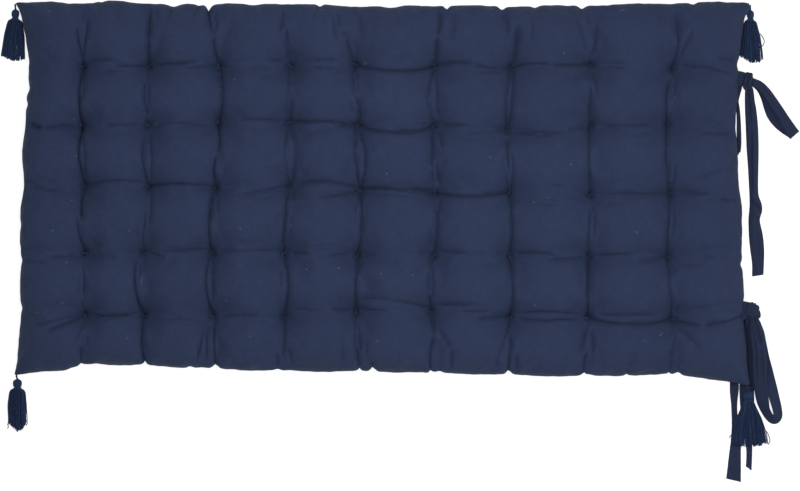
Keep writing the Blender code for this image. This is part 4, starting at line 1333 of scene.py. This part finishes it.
# A station is a place on a tie's middle line: the height z of its two edges, its width as it lies, how far
# arch its middle stands proud of them, and how far bank turns it about that line, in degrees.
Station = namedtuple("Station", "x y z width arch bank", defaults=[0])
# A fold runs along a tie from one station to another, at a side from 1 (left edge) to -1 (right edge). Its
# depth and width are in mm, and a ridge has a negative depth.
Fold = namedtuple("Fold", "first last from_side to_side depth width")


def wrap_stations(middle, turn, half_length, half_height, width, arch, first, last, pinched):
    """Stations round a knot in an upright ring. turn is the way across the ring, first and last its ends,
    and pinched how narrow the cloth is where it goes over the far side and the near side."""
    way = Vector((-math.sin(math.radians(turn)), math.cos(math.radians(turn)), 0))
    steps = round((last - first) / 30)
    stations = []
    for k in range(steps + 1):
        angle = math.radians(first + (last - first) * k / steps)
        grown = 1 + 0.06 * k / steps
        place = Vector(middle) + way * half_length * math.cos(angle) * grown
        place.z += half_height * math.sin(angle) * grown
        over = max(0, math.sin(angle))
        proud = arch * (0.25 + 0.75 * over)
        narrow = pinched[0] if math.cos(angle) > 0 else pinched[1]
        stations.append(Station(*place, width * (narrow + (1 - narrow) * over), proud))
    return stations


def fold_depth(spot, folds):
    """How deep the folds press the cloth down at a spot, which counts metres across and along the tie."""
    deep = 0
    for start, end, depth, width in folds:
        step = end - start
        share = min(1, max(0, (spot - start).dot(step) / step.length_squared))
        away = (spot - start - step * share).length
        fade = min(1, 5 * min(share, 1 - share) + 0.15)
        deep += depth * math.exp(-((away / width) ** 2)) * fade
    return deep


def level_lefts(fine, left):
    """The level way to a tie's left edge at each point of its fine line. Where the tie turns over on itself
    the way swings smoothly from one run to the other."""
    lefts = []
    for k in range(len(fine)):
        along = Vector(fine[min(k + 5, len(fine) - 1)][:3]) - Vector(fine[max(k - 5, 0)][:3])
        level = Vector((-along.y, along.x, 0))
        if left is None:
            left = level.normalized()
        if level.length < 0.75 * along.length:
            lefts.append(None)
            continue
        left = level.normalized() * (1 if level.dot(left) >= 0 else -1)
        lefts.append(left)
    known = [k for k, way in enumerate(lefts) if way is not None]
    for k in range(len(lefts)):
        if lefts[k] is None:
            before = max((n for n in known if n < k), default=known[0])
            after = min((n for n in known if n > k), default=known[-1])
            share = (k - before) / max(1, after - before) if before < after else 0
            lefts[k] = lefts[before].lerp(lefts[after], min(1, max(0, share))).normalized()
    return lefts


def turned_in(side, share):
    """Where the cloth at a side lies when a share of it is turned in under both edges: how far across, from
    -1 to 1, how far back from that, and how high, both in metres."""
    if share <= 0:
        return side, 0.0, 0.0
    radius = TURN_RADIUS * min(1, 10 * share)
    flat = 1 - share
    if abs(side) <= flat:
        return side / flat, 0.0, 2 * radius
    past = (abs(side) - flat) * TIE_WIDTH / 2
    angle = min(past / radius, math.pi)
    back = past - angle * radius - radius * math.sin(angle)
    return math.copysign(1, side), back or 1e-9, radius * (1 + math.cos(angle))


def measured(stations):
    """The stations' table, a fine line through it, and how far along the tie each point of that line lies."""
    table = [Vector(Station(*station)) for station in stations]
    fine = [through(table, k / FINE_STEPS) for k in range(FINE_STEPS * (len(table) - 1) + 1)]
    lengths = [0.0]
    for before, after in zip(fine, fine[1:]):
        lengths.append(lengths[-1] + (Vector(after[:3]) - Vector(before[:3])).length)
    return table, fine, lengths


def placed_folds(folds, table, lengths):
    """The folds as (start, end, depth, width), where start and end count metres across and along the tie."""
    placed = []
    for fold in folds:
        ends = []
        for at, side in ((fold.first, fold.from_side), (fold.last, fold.to_side)):
            station = Station(*through(table, min(at, len(table) - 1)))
            on = np.interp(at * FINE_STEPS, range(len(lengths)), lengths)
            ends.append(Vector((side * station.width / 2, on)))
        placed.append((*ends, fold.depth / 1000, fold.width / 1000))
    return placed


def row_ways(line, ats, lefts):
    """The ways along the tie, across it to its left edge and out of its upper face, for each row of cells.
    ats is where each row lies, counted in stations."""
    places = [Vector(station[:3]) for station in line]
    last = len(places) - 1
    ways = []
    for r, at in enumerate(ats):
        along = (places[min(r + 1, last)] - places[max(r - 1, 0)]).normalized()
        k = min(int(FINE_STEPS * at), len(lefts) - 2)
        left = lefts[k].lerp(lefts[k + 1], FINE_STEPS * at - k)
        left = (left - along * left.dot(along)).normalized()
        up = along.cross(left)
        bank = math.radians(line[r].bank)
        across = left * math.cos(bank) + up * math.sin(bank)
        ways.append((along, across, up * math.cos(bank) - left * math.sin(bank)))
    return ways


def tie_relief(spot, side, arch, folds, to_end, seed):
    """How far a tie's upper face stands up at a spot: its arch, less its folds, its crumple and its hem."""
    rough = Vector((spot.x * CRUMPLES_ACROSS, spot.y * CRUMPLES_ALONG, seed))
    crumple = TIE_CRUMPLE * (noise.noise(rough) + 0.5 * noise.noise(rough * 2.7))
    hem = HEM_GROOVE * math.exp(-(((to_end - HEM_LENGTH) / HEM_GROOVE_WIDTH) ** 2))
    return arch * (1 - side**2) - fold_depth(spot, folds) + crumple - hem


def make_tie(name, stations, folds, left=None, slant=0, hems=(False, True), turn_in=False, seed=0):
    """Lays one tie through its stations, and returns its piece and its length along the cloth. slant is how
    far the left edge goes on beyond the right one at the end, and hems says which ends have a hem."""
    table, fine, lengths = measured(stations)
    whole = lengths[-1]
    rows = round(whole / TIE_CELL_LENGTH)
    ats = [np.interp(whole * r / rows, lengths, range(len(fine))) / FINE_STEPS for r in range(rows + 1)]
    line = [Station(*through(table, at)) for at in ats]
    ways = row_ways(line, ats, level_lefts(fine, left))
    folds = placed_folds(folds, table, lengths)
    bm = bmesh.new()
    bm.loops.layers.uv.new("cloth")
    cells_across = 2 * TIE_CELLS if turn_in else TIE_CELLS
    bmesh.ops.create_grid(bm, x_segments=cells_across, y_segments=rows, size=1)
    cells = {vert: (-vert.co.x, round((vert.co.y + 1) / 2 * rows)) for vert in bm.verts}
    set_uvs(bm, lambda vert: (cells[vert][0] * TIE_WIDTH / 2, whole * cells[vert][1] / rows))
    for vert, (cloth_side, r) in cells.items():
        station, (along, across, out) = line[r], ways[r]
        share = max(0, 1 - station.width / TIE_WIDTH) if turn_in else 0
        side, back, raised = turned_in(cloth_side, share)
        spot = Vector((side * station.width / 2, whole * r / rows))
        height, inwards = raised, 0
        if back:
            inwards = math.copysign(back, side)
        else:
            to_end = min(spot.y if hems[0] else whole, whole - spot.y if hems[1] else whole)
            flat = max(TIE_THICKNESS, raised)
            height = max(flat + tie_relief(spot, side, station.arch, folds, to_end, seed), flat)
        on = slant * side * max(0, 1 - (whole - spot.y) / SLANT_REACH)
        place = Vector(station[:3])
        vert.co = place + across * (spot.x - inwards) + out * height + along * on
    mesh = bpy.data.meshes.new(name)
    bm.to_mesh(mesh)
    bm.free()
    mesh.materials.append(shaded_tie_cotton)
    mesh.shade_smooth()
    made = add_object(name, mesh)
    layers = made.modifiers.new("two_layers", "SOLIDIFY")
    layers.thickness = TIE_THICKNESS
    layers.offset = -1
    rounded = made.modifiers.new("rounded_edges", "SUBSURF")
    rounded.levels = rounded.render_levels = 1
    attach(made, "root")
    return made, whole


# The bunched cloth inside a knot, from the seam outwards: a row of upright rings.
Ring = namedtuple("Ring", "x y z width height")
BUNDLE_SIDES = 72
BUNDLE_STEPS = 40
BUNDLE_LENGTH = 0.035
GATHERS = 9
GATHER_DEPTH = 0.20


def make_bundle(name, rings):
    table = [Vector(ring) for ring in rings]
    last = len(rings) - 1
    uv_side, uv_step = 2 * TIE_WIDTH / BUNDLE_SIDES, BUNDLE_LENGTH / BUNDLE_STEPS

    def place_of(side, step):
        ring = Ring(*through(table, last * step / BUNDLE_STEPS))
        before = through(table, max(0, last * (step - 1) / BUNDLE_STEPS))
        after = through(table, min(last, last * (step + 1) / BUNDLE_STEPS))
        way = (after - before).xy.normalized()
        turn = 2 * math.pi * side / BUNDLE_SIDES
        gather = abs(math.cos(turn * GATHERS / 2 + 0.6 * math.sin(3 * turn))) - 0.6
        size = 0.5 * (1 + GATHER_DEPTH * gather)
        sideways = math.cos(turn) * ring.width * size
        height = max(FLOOR_GAP, ring.z + math.sin(turn) * ring.height * size)
        return ring.x - way.y * sideways, ring.y + way.x * sideways, height

    bm = bmesh.new()
    bm.loops.layers.uv.new("cloth")
    add_tube(bm, BUNDLE_SIDES, BUNDLE_STEPS, lambda side, step: (uv_side * side, uv_step * step), place_of)
    made = finish_piece(name, bm, shaded_tie_cotton)
    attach(made, "root")
    return made


# The ties' cotton is the cover's navy painted darker and greyer: painted shade, for ties that lie low beside
# the mattress.
SHADED_TIE_NAVY = (0.0150, 0.0215, 0.0490)
shaded_tie_cotton = woven_cotton("navy_tie_cotton_shaded", SHADED_TIE_NAVY, 0)

upper_knot = make_bundle("upper_knot_gathers", [
    Ring(0.5975, 0.1850, 0.0175, 0.0250, 0.0020),
    Ring(0.6000, 0.1850, 0.0160, 0.0250, 0.0070),
    Ring(0.6040, 0.1848, 0.0130, 0.0240, 0.0130),
    Ring(0.6085, 0.1843, 0.0100, 0.0225, 0.0150),
    Ring(0.6150, 0.1835, 0.0095, 0.0200, 0.0145),
    Ring(0.6205, 0.1826, 0.0085, 0.0165, 0.0120),
    Ring(0.6240, 0.1818, 0.0080, 0.0090, 0.0060),
])
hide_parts("upper_bow_knot")

over_knot = wrap_stations((0.6158, 0.1834, 0.0100), -12, 0.0114, 0.0068, 0.0152, 0.0056, -80, 150, (0.62, 1))
upper_long_end, long_end_length = make_tie(
    "upper_long_end",
    over_knot + [
        (0.6170, 0.1690, 0.0100, 0.0145, 0.0040), (0.6184, 0.1600, 0.0040, 0.0160, 0.0044),
        (0.6192, 0.1480, 0.0008, 0.0175, 0.0046), (0.6208, 0.1320, 0.0002, 0.0200, 0.0044),
        (0.6228, 0.1050, 0.0002, 0.0215, 0.0042), (0.6240, 0.0700, 0.0002, 0.0212, 0.0044),
        (0.6250, 0.0350, 0.0002, 0.0182, 0.0048), (0.6256, 0.0050, 0.0002, 0.0162, 0.0046),
        (0.6266, -0.0120, 0.0002, 0.0165, 0.0046), (0.6294, -0.0310, 0.0002, 0.0225, 0.0050),
        (0.6266, -0.0520, 0.0002, 0.0200, 0.0050), (0.6294, -0.0770, 0.0002, 0.0240, 0.0020),
        (0.6318, -0.1020, 0.0002, 0.0238, 0.0012), (0.6330, -0.1230, 0.0002, 0.0208, 0.0018),
        (0.6327, -0.1450, 0.0002, 0.0194, 0.0020),
    ],
    [
        Fold(0, 13, 0.0, -0.15, 5.0, 2.2),
        Fold(13, 17.0, -0.15, -0.45, 4.6, 2.4),
        Fold(17.2, 18.4, -1.0, 1.0, 4.4, 1.7),
        Fold(17.9, 18.8, -0.6, 0.9, -2.0, 2.4),
        Fold(18.6, 21.9, 0.3, -0.1, 1.4, 3.0),
        Fold(9, 12, 0.75, 0.6, 1.0, 1.6),
    ],
    left=Vector((1, 0, 0)), slant=-0.0016, seed=1,
)
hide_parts("upper_bow_long_end")

upper_short_end, short_end_length = make_tie(
    "upper_short_end",
    [
        (0.6020, 0.1790, 0.0080, 0.0120, 0.0040), (0.5992, 0.1700, 0.0040, 0.0140, 0.0055),
        (0.5976, 0.1575, 0.0010, 0.0108, 0.0060), (0.5966, 0.1474, 0.0004, 0.0090, 0.0065),
        (0.6000, 0.1290, 0.0002, 0.0072, 0.0070), (0.6010, 0.1000, 0.0002, 0.0084, 0.0070),
        (0.6012, 0.0760, 0.0002, 0.0088, 0.0065), (0.6002, 0.0600, 0.0002, 0.0075, 0.0050),
    ],
    [Fold(0, 5, -0.2, 0.1, 3.0, 1.8), Fold(4, 7, 0.3, -0.2, 2.4, 1.6)],
    left=Vector((1, 0, 0)), slant=-0.0025, turn_in=True, seed=2,
)
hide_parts("upper_bow_short_end")

upper_loop, upper_loop_length = make_tie(
    "upper_loop",
    [
        (0.6180, 0.1826, 0.0078, 0.0110, 0.0020), (0.6238, 0.1806, 0.0078, 0.0125, 0.0025),
        (0.6352, 0.1745, 0.0090, 0.0150, 0.0024), (0.6457, 0.1642, 0.0110, 0.0155, 0.0022),
        (0.6558, 0.1499, 0.0125, 0.0160, 0.0020), (0.6667, 0.1340, 0.0125, 0.0160, 0.0018),
        (0.6759, 0.1198, 0.0110, 0.0165, 0.0012), (0.6845, 0.1060, 0.0086, 0.0185, 0.0006),
        (0.6905, 0.0960, 0.0066, 0.0205, 0.0000), (0.6940, 0.0915, 0.0052, 0.0205, 0.0000),
        (0.6900, 0.0952, 0.0038, 0.0205, 0.0000), (0.6775, 0.1035, 0.0036, 0.0205, 0.0000),
        (0.6660, 0.1140, 0.0036, 0.0210, 0.0000), (0.6575, 0.1260, 0.0036, 0.0215, 0.0000),
        (0.6515, 0.1410, 0.0036, 0.0205, 0.0000), (0.6445, 0.1560, 0.0040, 0.0160, 0.0000),
        (0.6355, 0.1690, 0.0048, 0.0120, 0.0000), (0.6240, 0.1780, 0.0060, 0.0090, 0.0000),
    ],
    [
        Fold(0, 4, 0.1, -0.1, 1.3, 1.8),
        Fold(1, 6, -0.55, -0.3, 0.9, 1.5),
        Fold(4.5, 7.5, 0.45, 0.2, 0.7, 2.0),
    ],
    hems=(False, False), turn_in=True, seed=3,
)
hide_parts("upper_bow_loop")

# The lower bow. Its knot is fuller and turned a little, its loop stands on edge where it turns, and its two
# ends run on under the corner and its tassel.
lower_knot = make_bundle("lower_knot_gathers", [
    Ring(0.6000, -0.2035, 0.0175, 0.0300, 0.0020),
    Ring(0.6090, -0.2038, 0.0155, 0.0300, 0.0080),
    Ring(0.6175, -0.2040, 0.0112, 0.0265, 0.0135),
    Ring(0.6235, -0.2070, 0.0105, 0.0220, 0.0150),
    Ring(0.6280, -0.2105, 0.0098, 0.0190, 0.0140),
    Ring(0.6310, -0.2145, 0.0088, 0.0140, 0.0110),
    Ring(0.6325, -0.2175, 0.0085, 0.0080, 0.0060),
])
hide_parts("lower_bow_knot")

lower_wrap, wrap_length = make_tie(
    "lower_knot_wrap",
    wrap_stations((0.6215, -0.2040, 0.0108), -32, 0.0124, 0.0070, 0.0230, 0.0056, -80, 265, (0.55, 0.7)),
    [
        Fold(1, 10, 0.35, 0.15, 3.0, 1.6),
        Fold(2, 8, -0.55, -0.25, 2.6, 1.6),
        Fold(5, 8.5, 0.8, 0.2, 2.6, 1.4),
    ],
    left=Vector((math.cos(math.radians(-32)), math.sin(math.radians(-32)), 0)), hems=(False, False), seed=4,
)

lower_right_end, right_end_length = make_tie(
    "lower_right_end",
    [
        (0.6170, -0.2110, 0.0100, 0.0120, 0.0030), (0.6172, -0.2240, 0.0040, 0.0150, 0.0036),
        (0.6166, -0.2400, 0.0010, 0.0180, 0.0022), (0.6152, -0.2640, 0.0002, 0.0215, 0.0008),
        (0.6150, -0.2930, 0.0002, 0.0245, 0.0003), (0.6150, -0.3150, 0.0002, 0.0255, 0.0002),
        (0.6142, -0.3350, 0.0002, 0.0255, 0.0002), (0.6148, -0.3580, 0.0002, 0.0250, 0.0002),
        (0.6152, -0.3780, 0.0002, 0.0225, 0.0002), (0.6160, -0.4000, 0.0002, 0.0180, 0.0004),
        (0.6172, -0.4220, 0.0002, 0.0130, 0.0006), (0.6185, -0.4420, 0.0002, 0.0105, 0.0012),
        (0.6175, -0.4685, 0.0002, 0.0105, 0.0010),
    ],
    [Fold(0, 4, 0.1, -0.1, 2.6, 2.2), Fold(1, 5, -0.6, -0.5, 1.6, 1.8), Fold(10, 12, 0.2, 0.5, 0.8, 1.6)],
    left=Vector((1, 0, 0)), slant=0.0030, turn_in=True, seed=5,
)
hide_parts("lower_bow_right_end")

lower_left_end, left_end_length = make_tie(
    "lower_left_end",
    [
        (0.6120, -0.2090, 0.0060, 0.0110, 0.0030), (0.6085, -0.2220, 0.0024, 0.0120, 0.0030),
        (0.6030, -0.2400, 0.0004, 0.0120, 0.0020), (0.5965, -0.2700, 0.0002, 0.0115, 0.0016),
        (0.5922, -0.3000, 0.0002, 0.0125, 0.0012), (0.5933, -0.3300, 0.0002, 0.0160, 0.0012),
        (0.5930, -0.3440, 0.0002, 0.0146, 0.0012), (0.5930, -0.3600, 0.0002, 0.0112, 0.0014),
        (0.5936, -0.3780, 0.0002, 0.0108, 0.0010), (0.5950, -0.4000, 0.0003, 0.0130, 0.0006),
        (0.5955, -0.4250, 0.0004, 0.0180, 0.0004), (0.5942, -0.4470, 0.0004, 0.0210, 0.0008),
        (0.5920, -0.4885, 0.0004, 0.0258, 0.0012),
    ],
    [Fold(0, 3, 0.1, 0, 1.6, 1.6), Fold(6.5, 10, 0.3, 0.1, 0.8, 1.6), Fold(10.6, 12, -0.3, -0.45, 0.8, 2.6),
     Fold(11, 12, 0.5, 0.4, -0.6, 3.0)],
    left=Vector((1, 0, 0)), slant=0.0023, turn_in=True, seed=6,
)
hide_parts("lower_bow_left_end")

lower_loop, lower_loop_length = make_tie(
    "lower_loop",
    [
        (0.6225, -0.2100, 0.0100, 0.0130, 0.0025), (0.6268, -0.2218, 0.0096, 0.0180, 0.0040),
        (0.6316, -0.2420, 0.0108, 0.0245, 0.0050), (0.6343, -0.2620, 0.0112, 0.0255, 0.0052),
        (0.6360, -0.2830, 0.0106, 0.0255, 0.0052), (0.6362, -0.3030, 0.0092, 0.0245, 0.0046),
        (0.6366, -0.3228, 0.0074, 0.0240, 0.0034, 4), (0.6386, -0.3400, 0.0060, 0.0235, 0.0016, 14),
        (0.6414, -0.3560, 0.0074, 0.0230, 0.0005, 26), (0.6458, -0.3705, 0.0084, 0.0212, 0.0000, 44),
        (0.6530, -0.3822, 0.0086, 0.0200, 0.0000, 46), (0.6608, -0.3868, 0.0086, 0.0195, 0.0000, 44),
        (0.6658, -0.3800, 0.0084, 0.0195, 0.0000, 38), (0.6640, -0.3660, 0.0070, 0.0195, 0.0000, 32),
        (0.6602, -0.3510, 0.0052, 0.0195, 0.0005, 24), (0.6566, -0.3365, 0.0036, 0.0195, 0.0005, 16),
        (0.6522, -0.3199, 0.0020, 0.0195, 0.0005, 8), (0.6474, -0.3015, 0.0008, 0.0200, 0.0005, 4),
        (0.6424, -0.2831, 0.0002, 0.0200, 0.0005), (0.6385, -0.2613, 0.0002, 0.0190, 0.0005),
        (0.6360, -0.2412, 0.0008, 0.0150, 0.0005), (0.6330, -0.2220, 0.0030, 0.0080, 0.0005),
    ],
    [
        Fold(0.5, 3, 0.0, 0.2, 5.5, 2.4),
        Fold(3, 8.5, 0.2, 0.45, 4.6, 2.6),
        Fold(1.5, 6.0, -0.7, -0.55, 2.4, 2.2),
        Fold(2.5, 4.5, 0.75, 0.7, 1.0, 1.6),
    ],
    left=Vector((1, 0, 0)), hems=(False, False), seed=7,
)
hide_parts("lower_bow_loop")
